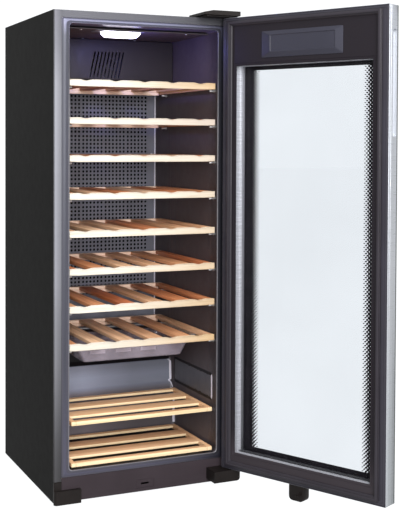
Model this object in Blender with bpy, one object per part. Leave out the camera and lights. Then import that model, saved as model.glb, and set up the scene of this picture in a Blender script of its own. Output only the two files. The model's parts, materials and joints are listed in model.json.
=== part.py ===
"""Free-standing wine cooler with its glass door standing open.

Metres, +Z up, the front towards -Y and the hinges on the +X side.  The origin
is on the floor under the middle of the cabinet body.  Door pieces are drawn in
the closed position and hang on an empty that turns them open about the hinge
axis.
"""

import itertools
import math

import bmesh
import bpy
from mathutils import Matrix, Vector

# ---- Driving dimensions -----------------------------------------------------
GAP = 0.0003  # clearance between pieces that touch
WIDTH = 0.595
DEPTH = 0.580
HEIGHT = 1.500
BASE_Z = 0.009  # underside of the base plate above the floor
SHEET = 0.002  # steel sheet of the outer skin
FRONT_Y = -DEPTH / 2
BACK_Y = DEPTH / 2
HALF_W = WIDTH / 2

# Liner: the moulded inner shell, its front flange and its compressor step
LINER_HALF_W = 0.249
LINER_FLOOR_Z = 0.1012
LINER_TOP_Z = 1.4625
LINER_BACK_Y = 0.258
LINER_WALL = 0.003
FLANGE_THICK = 0.0032
FLANGE_HALF_W = 0.2722
FLANGE_LOW_Z = 0.0837
FLANGE_TOP_Z = 1.4778
STEP_PROFILE = (  # (y, z) of the step over the compressor, from the floor up
    (0.060, LINER_FLOOR_Z),
    (0.062, 0.215),
    (0.0905, 0.260),
    (0.0955, 0.336),
    (0.118, 0.346),
    (0.118, 0.405),
    (0.140, 0.425),
    (LINER_BACK_Y, 0.425),
)
STEP_TOP_Z = 0.425

# Bottle shelves with a scalloped front board
SHELF_COUNT = 8
SHELF_TOP_Z = 1.294
SHELF_PITCH = 0.1156
TRIM_HALF_W = 0.2434
TRIM_FRONT_Y = -0.280
TRIM_THICK = 0.012
TRIM_HEIGHT = 0.0212
SCALLOP_PITCH = 0.0955
SCALLOP_HALF_W = 0.0235
SCALLOP_DEPTH = 0.0038
SHELF_HALF_W = 0.2405
SLAT_THICK = 0.011
SHELF_REAR_Y = 0.155
REAR_BOARD_THICK = 0.017
SHELF_DROP = 0.001  # slat tops below the trim's crest
RAIL_DROP = 0.0205  # underside of the side rails below the trim's crest
REAR_BOARD_DROP = 0.0235
RAIL_INNER_X = 0.2265
FLOOR_SHELF_TOPS = (0.247, 0.120)
FLOOR_SHELF_THICK = 0.0124
FLOOR_SHELF_HALF_W = 0.237
FLOOR_SHELF_BOARDS = ((-0.278, -0.256), (-0.209, -0.150), (-0.1055, -0.048), (0.005, 0.028))
PEG_RADIUS = 0.004
PEG_TIP_X = 0.231

# Door, in the closed position
HINGE_X = 0.2815
HINGE_Y = -0.323
DOOR_OPEN_DEG = 115.5
DOOR_HALF_W = 0.3015
DOOR_LOW_Z = 0.060
DOOR_TOP_Z = 1.498
DOOR_OUTER_Y = -0.352
DOOR_INNER_Y = -0.302
PANE_BACK_Y = -0.3475
FRAME_STEP_Y = -0.313
FRAME_WALL = 0.014
FRAME_LIP = 0.0035
VIEW_HALF_W = 0.2475
VIEW_LOW_Z = 0.117
VIEW_TOP_Z = 1.344
HINGE_POINT = Vector((HINGE_X, HINGE_Y, 0.0))
PIN_RADIUS = 0.0045
PIN_HOLE_RADIUS = 0.0053
LOCK_Z = 0.0335

# Base: the levelling feet and the plinth board with the lock's keeper in it
FOOT_X = 0.250
FOOT_Y = 0.250
STUD_RADIUS = 0.005
STUD_TOP_Z = 0.045
BASE_THICK = 0.003
PAN_HALF = 0.180  # half side of the pressing in the middle of the base plate
PAN_Z = 0.0075
KICK_THICK = 0.0025
KICK_TOP_Z = FLANGE_LOW_Z - 0.0004
KEEPER_HALF_W = 0.030
KEEPER_HALF_H = 0.013
KEEPER_SLOT_HALF_W = 0.020
KEEPER_SLOT_HALF_H = 0.004
BRACKET_PLATE_Y = FRONT_Y - 0.0005

# Rear sheet: columns and rows of air slots
SLOT_COLUMNS = (-0.165, -0.055, 0.055, 0.165)
SLOT_HALF_W = 0.045
SLOT_ROWS = 6
SLOT_LOW_Z = 0.085
SLOT_ROW_PITCH = 0.024
SLOT_HEIGHT = 0.008

# Air duct, fan and lamp
DUCT_FRONT_Y = 0.244
DUCT_HALF_W = 0.2485
FAN_X = -0.002
FAN_Z = 1.387
FAN_COVER_HALF_W = 0.246
FAN_COVER_FRONT_Y = 0.080
FAN_COVER_LOW_Z = 1.317
FAN_COVER_TOP_Z = 1.453
FAN_SLOT_COUNT = 9
FAN_SLOT_X = -0.058
FAN_SLOT_PITCH = 0.0125
FAN_SLOT_W = 0.0055
FAN_SLOT_LEAN = 0.018
FAN_SLOT_LOW_Z = 1.330
FAN_SLOT_TOP_Z = 1.412

# Humidity tray
TRAY_LOW_Z = 0.414
TRAY_LIP_Z = 0.4570
TRAY_TOP_Z = 0.4595
TRAY_FRONT_Y = -0.190
TRAY_REAR_Y = 0.050

# ---- Materials --------------------------------------------------------------
FINISHES = {  # name: colour, roughness, metallic
    "black_steel": ((0.020, 0.020, 0.022), 0.45, 0.3),
    "front_edge_metal": ((0.45, 0.46, 0.48), 0.35, 0.9),
    "liner_plastic": ((0.050, 0.048, 0.058), 0.40, 0.0),
    "black_plastic": ((0.016, 0.015, 0.018), 0.40, 0.0),
    "rubber": ((0.010, 0.010, 0.011), 0.70, 0.0),
    "foam": ((0.75, 0.68, 0.45), 0.95, 0.0),
    "zinc_steel": ((0.55, 0.56, 0.58), 0.40, 1.0),
    "aluminium": ((0.60, 0.61, 0.63), 0.30, 1.0),
    "beech": ((0.62, 0.40, 0.22), 0.55, 0.0),
    "pale_wood": ((0.86, 0.70, 0.46), 0.50, 0.0),
    "glass": ((0.80, 0.84, 0.86), 0.05, 0.0),
    "clear_plastic": ((0.35, 0.38, 0.42), 0.10, 0.0),
    "lamp_white": ((0.90, 0.90, 1.00), 0.30, 0.0),
    "compressor_black": ((0.012, 0.012, 0.012), 0.50, 0.2),
    "circuit_green": ((0.03, 0.16, 0.07), 0.50, 0.0),
}


def finish(name):
    """The material of that name, made the first time it is asked for."""
    material = bpy.data.materials.get(name)
    if material is None:
        colour, roughness, metallic = FINISHES[name]
        material = bpy.data.materials.new(name)
        material.use_nodes = True
        shader = material.node_tree.nodes["Principled BSDF"]
        shader.inputs["Base Color"].default_value = (*colour, 1.0)
        shader.inputs["Roughness"].default_value = roughness
        shader.inputs["Metallic"].default_value = metallic
    return material


# ---- Mesh helpers -----------------------------------------------------------
def add_box(bm, low, high):
    """A box between two corners."""
    size = [b - a for a, b in zip(low, high)]
    centre = [(a + b) / 2 for a, b in zip(low, high)]
    matrix = Matrix.Translation(centre) @ Matrix.Diagonal((*size, 1.0))
    bmesh.ops.create_cube(bm, size=1.0, matrix=matrix)


def on_axis(axis, across, along):
    """A point from its two coordinates across an axis, in X, Y, Z order, and one along it."""
    point = list(across)
    point.insert("XYZ".index(axis), along)
    return point


def add_prism(bm, outline, axis, low, high):
    """The outline, drawn across the axis, extruded from low to high along it."""
    ends = [[bm.verts.new(on_axis(axis, p, at)) for p in outline] for at in (low, high)]
    bm.faces.new(ends[0])
    bm.faces.new(reversed(ends[1]))
    count = len(outline)
    for i in range(count):
        j = (i + 1) % count
        bm.faces.new((ends[0][j], ends[0][i], ends[1][i], ends[1][j]))


def add_cells(bm, xs, ys, zs, filled):
    """One closed skin round the cells of a grid for which filled(i, j, k) holds."""
    counts = (len(xs) - 1, len(ys) - 1, len(zs) - 1)
    corners = {}

    def corner(key):
        if key not in corners:
            corners[key] = bm.verts.new((xs[key[0]], ys[key[1]], zs[key[2]]))
        return corners[key]

    def is_solid(cell):
        return all(0 <= n < c for n, c in zip(cell, counts)) and filled(*cell)

    for cell in itertools.product(*map(range, counts)):
        if not filled(*cell):
            continue
        for axis, side in itertools.product(range(3), (0, 1)):
            beyond = list(cell)
            beyond[axis] += 2 * side - 1
            if is_solid(beyond):
                continue
            loop = []
            for first, second in ((0, 0), (1, 0), (1, 1), (0, 1)):
                key = list(cell)
                key[axis] += side
                key[(axis + 1) % 3] += first
                key[(axis + 2) % 3] += second
                loop.append(corner(tuple(key)))
            bm.faces.new(loop if side else reversed(loop))
    bmesh.ops.dissolve_limit(bm, angle_limit=0.01, verts=bm.verts, edges=bm.edges)


def circle(centre, radius, sides, start=0.0):
    """Points round a circle."""
    turns = [start + 2 * math.pi * i / sides for i in range(sides)]
    return [(centre[0] + radius * math.cos(t), centre[1] + radius * math.sin(t)) for t in turns]


def rounded_rectangle(low, high, radius, steps=4):
    """A rectangle's outline with its four corners rounded."""
    points = []
    corners = ((high, high, 0), (low, high, 1), (low, low, 2), (high, low, 3))
    for across, up, quarter in corners:
        x = across[0] + (radius if across is low else -radius)
        y = up[1] + (radius if up is low else -radius)
        for i in range(steps + 1):
            turn = (quarter + i / steps) * math.pi / 2
            points.append((x + radius * math.cos(turn), y + radius * math.sin(turn)))
    return points


def add_lathe(bm, centre, profile, sides):
    """A (radius, z) profile turned about the vertical line through centre.

    The profile runs from the axis at the bottom to the axis at the top.
    """
    bottom = bm.verts.new((*centre, profile[0][1]))
    top = bm.verts.new((*centre, profile[-1][1]))
    rings = [[bm.verts.new((*p, z)) for p in circle(centre, r, sides)] for r, z in profile[1:-1]]
    for i in range(sides):
        j = (i + 1) % sides
        bm.faces.new((bottom, rings[0][j], rings[0][i]))
        bm.faces.new((top, rings[-1][i], rings[-1][j]))
        for lower, upper in zip(rings, rings[1:]):
            bm.faces.new((lower[i], lower[j], upper[j], upper[i]))


def make_object(name, bm, material, smooth=False):
    """An object from a finished bmesh, its faces turned outwards."""
    bmesh.ops.recalc_face_normals(bm, faces=bm.faces)
    mesh = bpy.data.meshes.new(name)
    bm.to_mesh(mesh)
    bm.free()
    mesh.materials.append(finish(material))
    if smooth:
        mesh.shade_smooth()
        mesh.set_sharp_from_angle(angle=math.radians(35))
    made = bpy.data.objects.new(name, mesh)
    bpy.context.collection.objects.link(made)
    return made


def box(name, low, high, material):
    bm = bmesh.new()
    add_box(bm, low, high)
    return make_object(name, bm, material)


def prism(name, outline, axis, low, high, material, smooth=False):
    bm = bmesh.new()
    add_prism(bm, outline, axis, low, high)
    return make_object(name, bm, material, smooth)


def cells(name, xs, ys, zs, filled, material):
    bm = bmesh.new()
    add_cells(bm, xs, ys, zs, filled)
    return make_object(name, bm, material)


def ring(name, half_w, low_z, top_z, wall, low_y, high_y, material):
    """A rectangular ring round the Y axis with the same wall on all four sides."""
    return cells(
        name,
        (-half_w, -half_w + wall, half_w - wall, half_w),
        (low_y, high_y),
        (low_z, low_z + wall, top_z - wall, top_z),
        lambda i, j, k: i != 1 or k != 1,
        material,
    )


def combine(target, tool, operation):
    """Apply a Boolean between two objects and remove the tool."""
    modifier = target.modifiers.new("combine", "BOOLEAN")
    modifier.operation = operation
    modifier.solver = "EXACT"
    modifier.object = tool
    depsgraph = bpy.context.evaluated_depsgraph_get()
    result = bpy.data.meshes.new_from_object(target.evaluated_get(depsgraph))
    target.modifiers.clear()
    target.data = result
    bpy.data.objects.remove(tool, do_unlink=True)


def set_origin(target, origin):
    """Move the object's origin without moving its mesh in space."""
    target.data.transform(Matrix.Translation(-Vector(origin)))
    target.location = origin


def copies(first, names, places):
    """Copies of an object that share its mesh."""
    made = []
    for name, place in zip(names, places):
        other = bpy.data.objects.new(name, first.data)
        other.location = place
        bpy.context.collection.objects.link(other)
        made.append(other)
    return made


# ---- Cabinet skin -----------------------------------------------------------
def side_panels():
    for name, side in (("side_panel_left", -1), ("side_panel_right", 1)):
        near, far = sorted((side * (HALF_W - SHEET), side * HALF_W))
        box(name, (near, FRONT_Y + 0.0037, BASE_Z), (far, BACK_Y, HEIGHT), "black_steel")


def top_panel():
    half = HALF_W - SHEET - GAP
    low = (-half, FRONT_Y + 0.0037, HEIGHT - SHEET)
    box("top_panel", low, (half, BACK_Y, HEIGHT), "black_steel")


def back_panel():
    """The rear sheet, with four columns of air slots behind the compressor."""
    half = HALF_W - SHEET - GAP
    xs = [-half]
    for centre in SLOT_COLUMNS:
        xs += [centre - SLOT_HALF_W, centre + SLOT_HALF_W]
    xs.append(half)
    zs = [0.055]
    for row in range(SLOT_ROWS):
        slot_z = SLOT_LOW_Z + SLOT_ROW_PITCH * row
        zs += [slot_z, slot_z + SLOT_HEIGHT]
    zs.append(HEIGHT - SHEET - GAP)

    def filled(i, j, k):
        is_slot = i % 2 == 1 and k % 2 == 1
        return not is_slot

    cells("back_panel", xs, (BACK_Y - SHEET, BACK_Y), zs, filled, "zinc_steel")


def base_plate():
    """The base sheet, pressed a little deeper in its middle, with a hole for each stud."""
    half = HALF_W - SHEET - GAP
    top = BASE_Z + BASE_THICK
    low = (-half, FRONT_Y + 0.0045, BASE_Z)
    plate = box("base_plate", low, (half, BACK_Y - SHEET - GAP, top), "black_steel")
    low = (-PAN_HALF, -PAN_HALF, PAN_Z)
    pan = box("pan", low, (PAN_HALF, PAN_HALF, BASE_Z + BASE_THICK / 2), "black_steel")
    combine(plate, pan, "UNION")
    bm = bmesh.new()
    for x, y in itertools.product((-FOOT_X, FOOT_X), (-FOOT_Y, FOOT_Y)):
        add_prism(bm, circle((x, y), STUD_RADIUS + 0.0006, 16), "Z", 0.0, 0.03)
    combine(plate, make_object("stud_holes", bm, "black_steel"), "DIFFERENCE")


def feet():
    """Four levelling feet: a round pad with a threaded stud through the base plate."""
    profile = (
        (0.0, 0.0),
        (0.018, 0.0),
        (0.020, 0.002),
        (0.020, 0.0065),
        (0.017, BASE_Z - GAP),
        (STUD_RADIUS, BASE_Z - GAP),
        (STUD_RADIUS, STUD_TOP_Z),
        (0.0, STUD_TOP_Z),
    )
    bm = bmesh.new()
    add_lathe(bm, (0.0, 0.0), profile, 16)
    first = make_object("foot_front_left", bm, "black_plastic", smooth=True)
    first.location = (-FOOT_X, -FOOT_Y, 0.0)
    names = ("foot_front_right", "foot_rear_left", "foot_rear_right")
    places = ((FOOT_X, -FOOT_Y, 0.0), (-FOOT_X, FOOT_Y, 0.0), (FOOT_X, FOOT_Y, 0.0))
    copies(first, names, places)


def front_frame():
    """The metal edge round the cabinet's front: two legs and a head."""
    outer = HALF_W
    inner = FLANGE_HALF_W + 0.0004
    head = FLANGE_TOP_Z + 0.0004
    foot = 0.0725
    outline = (
        (-outer, foot),
        (-inner, foot),
        (-inner, head),
        (inner, head),
        (inner, foot),
        (outer, foot),
        (outer, HEIGHT),
        (-outer, HEIGHT),
    )
    prism("front_frame", outline, "Y", FRONT_Y, FRONT_Y + FLANGE_THICK, "front_edge_metal")


def kick_panel():
    """The plinth board under the liner, with a window for the keeper plate."""
    cells(
        "kick_panel",
        (-FLANGE_HALF_W, -KEEPER_HALF_W - GAP, KEEPER_HALF_W + GAP, FLANGE_HALF_W),
        (FRONT_Y, FRONT_Y + KICK_THICK),
        (BASE_Z + GAP, LOCK_Z - KEEPER_HALF_H - GAP, LOCK_Z + KEEPER_HALF_H + GAP, KICK_TOP_Z),
        lambda i, j, k: i != 1 or k != 1,
        "black_plastic",
    )


def keeper_plate():
    """The plate in the plinth board with the slot that the lock's bar enters."""
    cells(
        "keeper_plate",
        (-KEEPER_HALF_W, -KEEPER_SLOT_HALF_W, KEEPER_SLOT_HALF_W, KEEPER_HALF_W),
        (FRONT_Y, FRONT_Y + KICK_THICK),
        (
            LOCK_Z - KEEPER_HALF_H,
            LOCK_Z - KEEPER_SLOT_HALF_H,
            LOCK_Z + KEEPER_SLOT_HALF_H,
            LOCK_Z + KEEPER_HALF_H,
        ),
        lambda i, j, k: i != 1 or k != 1,
        "black_plastic",
    )


def foot_cover():
    """The moulded corner cover at the bottom left, round at its outer front corner."""
    left = -HALF_W
    right = -0.2134
    front = FRONT_Y - 0.0135
    radius = 0.010
    outline = [(right, FRONT_Y - GAP), (left, FRONT_Y - GAP)]
    for i in range(6):
        turn = math.pi + i * math.pi / 10
        outline.append((left + radius * (1 + math.cos(turn)), front + radius * (1 + math.sin(turn))))
    outline.append((right, front))
    cover = prism("foot_cover_left", outline, "Z", 0.0045, 0.0465, "black_plastic", smooth=True)
    low = (left, FRONT_Y - 0.0030, 0.0093)
    plate = box("flush_plate", low, (-0.2727, FRONT_Y + 0.0030, 0.0715), "black_plastic")
    combine(cover, plate, "UNION")


# ---- Liner and insulation ---------------------------------------------------
def cavity_outline(grow):
    """The (y, z) outline of the cold space, grown outwards by grow, open end at the front.

    Each corner of the step is moved along the mitre of its two sides.
    """
    inner = [(FRONT_Y - 0.02, LINER_FLOOR_Z), *STEP_PROFILE, (LINER_BACK_Y, LINER_TOP_Z)]
    inner.append((FRONT_Y - 0.02, LINER_TOP_Z))
    count = len(inner)
    grown = []
    for i, point in enumerate(inner):
        before = Vector(point) - Vector(inner[i - 1])
        after = Vector(inner[(i + 1) % count]) - Vector(point)
        normals = [Vector((d.y, -d.x)).normalized() for d in (before, after)]
        mitre = (normals[0] + normals[1]).normalized()
        grown.append(Vector(point) + mitre * (grow / mitre.dot(normals[0])))
    return [(p.x, p.y) for p in grown]


def clipped(outline, front):
    """The same outline with its open end moved to front."""
    return [(front if y < FRONT_Y else y, z) for y, z in outline]


def peg_places():
    """(y, z) of every shelf peg's axis."""
    places = []
    for shelf in range(SHELF_COUNT):
        z = SHELF_TOP_Z - SHELF_PITCH * shelf - RAIL_DROP - GAP - PEG_RADIUS
        places += [(-0.260, z), (0.140, z)]
    for top in FLOOR_SHELF_TOPS:
        z = top - FLOOR_SHELF_THICK - GAP - PEG_RADIUS
        places += [(-0.240, z), (-0.002, z)]
    return places


def wall_rib_outline():
    return rounded_rectangle((-0.256, 0.262), (0.062, 0.352), 0.010, steps=3)


def inner_liner():
    flange_back = FRONT_Y + FLANGE_THICK
    low = (-FLANGE_HALF_W, FRONT_Y, FLANGE_LOW_Z)
    liner = box("inner_liner", low, (FLANGE_HALF_W, flange_back, FLANGE_TOP_Z), "liner_plastic")
    shell_half = LINER_HALF_W + LINER_WALL
    shell = clipped(cavity_outline(LINER_WALL), FRONT_Y + 0.001)
    body = prism("shell", shell, "X", -shell_half, shell_half, "liner_plastic")
    combine(liner, body, "UNION")
    hollow = prism("hollow", cavity_outline(0.0), "X", -LINER_HALF_W, LINER_HALF_W, "liner_plastic")
    combine(liner, hollow, "DIFFERENCE")
    bm = bmesh.new()
    for side in (-1, 1):
        root = side * (LINER_HALF_W + 0.001)
        tip = side * PEG_TIP_X
        for y, z in peg_places():
            add_prism(bm, circle((y, z), PEG_RADIUS, 8, math.pi / 8), "X", *sorted((root, tip)))
        rib = sorted((root, side * (LINER_HALF_W - 0.0014)))
        add_prism(bm, wall_rib_outline(), "X", *rib)
    combine(liner, make_object("pegs", bm, "liner_plastic"), "UNION")


def insulation_foam():
    """Foam that fills the walls, cut out for the liner and the compressor space."""
    low = (-0.2950, FRONT_Y + 0.0037, 0.060)
    foam = box("insulation_foam", low, (0.2950, BACK_Y - 0.0027, 1.4975), "foam")
    half = LINER_HALF_W + LINER_WALL + GAP
    liner_space = cavity_outline(LINER_WALL + GAP)
    combine(foam, prism("liner_space", liner_space, "X", -half, half, "foam"), "DIFFERENCE")
    machine_space = (
        (0.090, 0.030),
        (0.320, 0.030),
        (0.320, 0.385),
        (0.145, 0.385),
        (0.145, 0.330),
        (0.090, 0.225),
    )
    combine(foam, prism("machine_space", machine_space, "X", -0.26, 0.26, "foam"), "DIFFERENCE")


# ---- Cooling machinery ------------------------------------------------------
def compressor():
    """A welded pot, domed at both ends, on the base plate."""
    radius = 0.062
    profile = [(0.0, 0.0123), (0.040, 0.0123), (0.050, 0.020)]
    profile += [(radius, 0.045), (radius, 0.088), (radius + 0.003, 0.089)]
    profile += [(radius + 0.003, 0.094), (radius, 0.095), (radius, 0.130)]
    for i in range(1, 5):
        turn = i * math.pi / 10
        profile.append((radius * math.cos(turn), 0.130 + 0.040 * math.sin(turn)))
    profile.append((0.0, 0.170))
    bm = bmesh.new()
    add_lathe(bm, (0.120, 0.205), profile, 20)
    make_object("compressor", bm, "compressor_black", smooth=True)


def evaporation_pan():
    """The open pan over the compressor in which meltwater dries off."""
    wall = 0.002
    low_x, high_x, low_y, high_y = 0.045, 0.195, 0.150, 0.262
    cells(
        "evaporation_pan",
        (low_x, low_x + wall, high_x - wall, high_x),
        (low_y, low_y + wall, high_y - wall, high_y),
        (0.174, 0.174 + wall, 0.198),
        lambda i, j, k: k == 0 or i != 1 or j != 1,
        "black_plastic",
    )


def comb(low, high, back, tip, count, fin):
    """A comb's outline: a back along the first coordinate, with fins up to tip."""
    points = [(high, back[0]), (low, back[0])]
    pitch = (high - low - fin) / (count - 1)
    for i in range(count):
        at = low + pitch * i
        points += [(at, tip), (at + fin, tip)]
        if i < count - 1:
            points += [(at + fin, back[1]), (at + pitch, back[1])]
    return points


def condenser():
    outline = comb(-0.220, -0.040, (0.0123, 0.030), 0.200, 13, 0.003)
    prism("condenser", outline, "Y", 0.140, 0.250, "aluminium")


def evaporator():
    """A finned cold plate between the duct panel and the liner's back."""
    outline = [(y, z) for z, y in comb(0.600, 1.280, (0.2555, 0.2535), 0.2485, 18, 0.003)]
    prism("evaporator", outline, "X", -0.220, 0.220, "aluminium")


def power_inlet():
    """The mains inlet, with its socket facing the rear."""
    low = (0.180, 0.262, 0.0123)
    inlet = box("power_inlet", low, (0.230, 0.2872, 0.0450), "black_plastic")
    pocket = box("pocket", (0.1915, 0.270, 0.0185), (0.2185, 0.295, 0.0385), "black_plastic")
    combine(inlet, pocket, "DIFFERENCE")


# ---- Air duct, fan and lamp -------------------------------------------------
def duct_panel():
    low = (-DUCT_HALF_W, DUCT_FRONT_Y, STEP_TOP_Z + 0.005)
    box("duct_panel", low, (DUCT_HALF_W, DUCT_FRONT_Y + 0.0025, 1.460), "liner_plastic")


def fan_cover():
    """A box over the fan, open at its back, with slanted air slots in its face."""
    half = FAN_COVER_HALF_W
    front = FAN_COVER_FRONT_Y
    wall = 0.0025
    cover = cells(
        "fan_cover",
        (-half, -half + wall, half - wall, half),
        (front, front + wall, DUCT_FRONT_Y - 0.0005),
        (FAN_COVER_LOW_Z, FAN_COVER_LOW_Z + wall, FAN_COVER_TOP_Z - wall, FAN_COVER_TOP_Z),
        lambda i, j, k: j == 0 or i != 1 or k != 1,
        "liner_plastic",
    )
    bm = bmesh.new()
    for slot in range(FAN_SLOT_COUNT):
        near = FAN_SLOT_X + FAN_SLOT_PITCH * slot
        far = near + FAN_SLOT_W
        outline = (
            (near, FAN_SLOT_LOW_Z),
            (far, FAN_SLOT_LOW_Z),
            (far + FAN_SLOT_LEAN, FAN_SLOT_TOP_Z),
            (near + FAN_SLOT_LEAN, FAN_SLOT_TOP_Z),
        )
        add_prism(bm, outline, "Y", front - 0.01, front + 0.01)
    combine(cover, make_object("slots", bm, "liner_plastic"), "DIFFERENCE")


def fan_rotor():
    """A hub with seven pitched blades, on the fan's axis."""
    hub = 0.016
    tip = 0.050
    blades = 7
    sector = 2 * math.pi / blades
    corners = ((hub, 0.0), (tip, 0.30), (tip, 0.52), (hub, 0.20), (hub, 0.55))
    layers = 5
    low = 0.105
    high = 0.150
    twist = math.radians(32)
    bm = bmesh.new()
    rings = []
    for layer in range(layers):
        share = layer / (layers - 1)
        points = []
        for blade, (radius, lead) in itertools.product(range(blades), corners):
            turn = sector * (blade + lead) + twist * share
            points.append((radius * math.cos(turn), low + (high - low) * share, radius * math.sin(turn)))
        rings.append([bm.verts.new(p) for p in points])
    count = len(rings[0])
    for lower, upper in zip(rings, rings[1:]):
        for i in range(count):
            j = (i + 1) % count
            bm.faces.new((lower[i], lower[j], upper[j], upper[i]))
    bm.faces.new(reversed(rings[0]))
    bm.faces.new(rings[-1])
    rotor = make_object("fan_rotor", bm, "black_plastic")
    rotor.location = (FAN_X, 0.0, FAN_Z)


def fan_motor():
    bm = bmesh.new()
    add_prism(bm, circle((FAN_X, FAN_Z), 0.025, 20), "Y", 0.156, DUCT_FRONT_Y - 0.0007)
    make_object("fan_motor", bm, "black_plastic", smooth=True)


def ceiling_pieces():
    """The flat cover under the liner's ceiling, and the lamp below its front."""
    box("ceiling_panel", (-0.245, -0.215, 1.4545), (0.245, 0.082, 1.4575), "liner_plastic")
    box("lamp_housing", (-0.135, -0.2145, 1.4518), (0.026, -0.150, 1.4541), "black_plastic")
    outline = rounded_rectangle((-0.126, 1.4292), (0.017, 1.4515), 0.004, steps=3)
    prism("lamp_lens", outline, "Y", -0.210, -0.160, "lamp_white", smooth=True)


# ---- Shelves ----------------------------------------------------------------
def trim_outline():
    """The front board's (x, z) outline: five shallow scallops between flat crests."""
    steps = 6
    points = [(-TRIM_HALF_W, -TRIM_HEIGHT), (TRIM_HALF_W, -TRIM_HEIGHT), (TRIM_HALF_W, 0.0)]
    for scallop in (2, 1, 0, -1, -2):
        centre = SCALLOP_PITCH * scallop
        for i in range(steps + 1):
            share = 1 - 2 * i / steps
            dip = SCALLOP_DEPTH * math.cos(share * math.pi / 2) ** 2
            points.append((centre + SCALLOP_HALF_W * share, -dip))
    points.append((-TRIM_HALF_W, 0.0))
    return points


def shelf_tops():
    return [SHELF_TOP_Z - SHELF_PITCH * i for i in range(SHELF_COUNT)]


def shelf_fronts():
    back = TRIM_FRONT_Y + TRIM_THICK
    first = prism("shelf_1_front", trim_outline(), "Y", TRIM_FRONT_Y, back, "pale_wood")
    tops = shelf_tops()
    first.location.z = tops[0]
    names = [f"shelf_{i}_front" for i in range(2, SHELF_COUNT + 1)]
    copies(first, names, [(0.0, 0.0, z) for z in tops[1:]])


def shelf_frames():
    """Six slats that run front to back, with side rails and a rear board."""
    half_gap = SCALLOP_HALF_W
    xs = [-SHELF_HALF_W, -RAIL_INNER_X]
    for scallop in (-2, -1, 0, 1, 2):
        xs += [SCALLOP_PITCH * scallop - half_gap, SCALLOP_PITCH * scallop + half_gap]
    xs += [RAIL_INNER_X, SHELF_HALF_W]
    front = TRIM_FRONT_Y + TRIM_THICK + GAP
    ys = (front, front + 0.013, SHELF_REAR_Y, SHELF_REAR_Y + REAR_BOARD_THICK)
    zs = (-REAR_BOARD_DROP, -RAIL_DROP, -SHELF_DROP - SLAT_THICK, -SHELF_DROP)
    last = len(xs) - 2

    def filled(i, j, k):
        is_rail = i in (0, last)
        is_gap = i % 2 == 0 and not is_rail
        if k == 0:
            return j == 2 and not is_rail
        if k == 1:
            return is_rail or j in (0, 2)
        return not is_gap or j == 2

    first = cells("shelf_1_frame", xs, ys, zs, filled, "beech")
    tops = shelf_tops()
    first.location.z = tops[0]
    names = [f"shelf_{i}_frame" for i in range(2, SHELF_COUNT + 1)]
    copies(first, names, [(0.0, 0.0, z) for z in tops[1:]])


def floor_shelves():
    """Two low shelves of four cross boards between side rails."""
    half = FLOOR_SHELF_HALF_W
    ys = [y for board in FLOOR_SHELF_BOARDS for y in board]
    first = cells(
        "slatted_shelf_upper",
        (-half, -half + 0.015, half - 0.015, half),
        ys,
        (-FLOOR_SHELF_THICK, 0.0),
        lambda i, j, k: i != 1 or j % 2 == 0,
        "pale_wood",
    )
    first.location.z = FLOOR_SHELF_TOPS[0]
    copies(first, ["slatted_shelf_lower"], [(0.0, 0.0, FLOOR_SHELF_TOPS[1])])


def humidity_tray():
    """A clear drawer with sloped ends and a lip each side that hangs in the runners."""
    low = 0.170
    high = 0.197
    lip = 0.207
    wall = 0.0025
    outline = (
        (-low, TRAY_LOW_Z),
        (low, TRAY_LOW_Z),
        (high, TRAY_LIP_Z),
        (lip, TRAY_LIP_Z),
        (lip, TRAY_TOP_Z),
        (-lip, TRAY_TOP_Z),
        (-lip, TRAY_LIP_Z),
        (-high, TRAY_LIP_Z),
    )
    tray = prism("humidity_tray", outline, "Y", TRAY_FRONT_Y, TRAY_REAR_Y, "clear_plastic")
    floor_z = TRAY_LOW_Z + wall
    inside = (
        (-low + wall, floor_z),
        (low - wall, floor_z),
        (high - wall, TRAY_LIP_Z),
        (high - wall, TRAY_TOP_Z + 0.01),
        (-high + wall, TRAY_TOP_Z + 0.01),
        (-high + wall, TRAY_LIP_Z),
    )
    hollow = prism("inside", inside, "Y", TRAY_FRONT_Y + wall, TRAY_REAR_Y - wall, "clear_plastic")
    combine(tray, hollow, "DIFFERENCE")


def tray_hanger():
    """Two channel runners under the lowest bottle shelf, joined by a rear strip."""
    slat_z = shelf_tops()[-1] - SHELF_DROP - SLAT_THICK - GAP
    web = 0.002
    xs = (-0.2225, -0.2150, -0.2125, -0.1990, 0.1990, 0.2125, 0.2150, 0.2225)
    ys = (TRAY_FRONT_Y, TRAY_REAR_Y + 0.005, TRAY_REAR_Y + 0.020)
    zs = (0.4545, TRAY_LIP_Z - GAP, slat_z - web, slat_z)

    def filled(i, j, k):
        if i == 3:
            return j == 1 and k == 2
        if k == 2:
            return True
        if k == 1:
            return i in (1, 5)
        return i in (1, 2, 4, 5)

    cells("tray_hanger", xs, ys, zs, filled, "zinc_steel")


# ---- Hinges on the cabinet --------------------------------------------------
def top_hinge():
    """The plate that carries the upper pin, and the cover over it."""
    outline = rounded_rectangle((0.185, -0.335), (0.297, -0.230), 0.008, steps=3)
    bracket = prism("top_hinge_bracket", outline, "Z", HEIGHT + GAP, HEIGHT + 0.0043, "zinc_steel")
    pin = circle((HINGE_X, HINGE_Y), PIN_RADIUS, 16)
    combine(bracket, prism("pin", pin, "Z", 1.486, HEIGHT + 0.002, "zinc_steel"), "UNION")
    low = HEIGHT + 0.0046
    top = 1.519
    outer = ((0.1745, low), (0.300, low), (0.300, top), (0.205, top), (0.1745, 1.5126))
    cover = prism("top_hinge_cover", outer, "Y", -0.345, -0.225, "black_plastic")
    inner = ((0.178, 1.50), (0.298, 1.50), (0.298, 1.517), (0.2055, 1.517), (0.178, 1.5112))
    combine(cover, prism("inside", inner, "Y", -0.343, -0.227, "black_plastic"), "DIFFERENCE")


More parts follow.
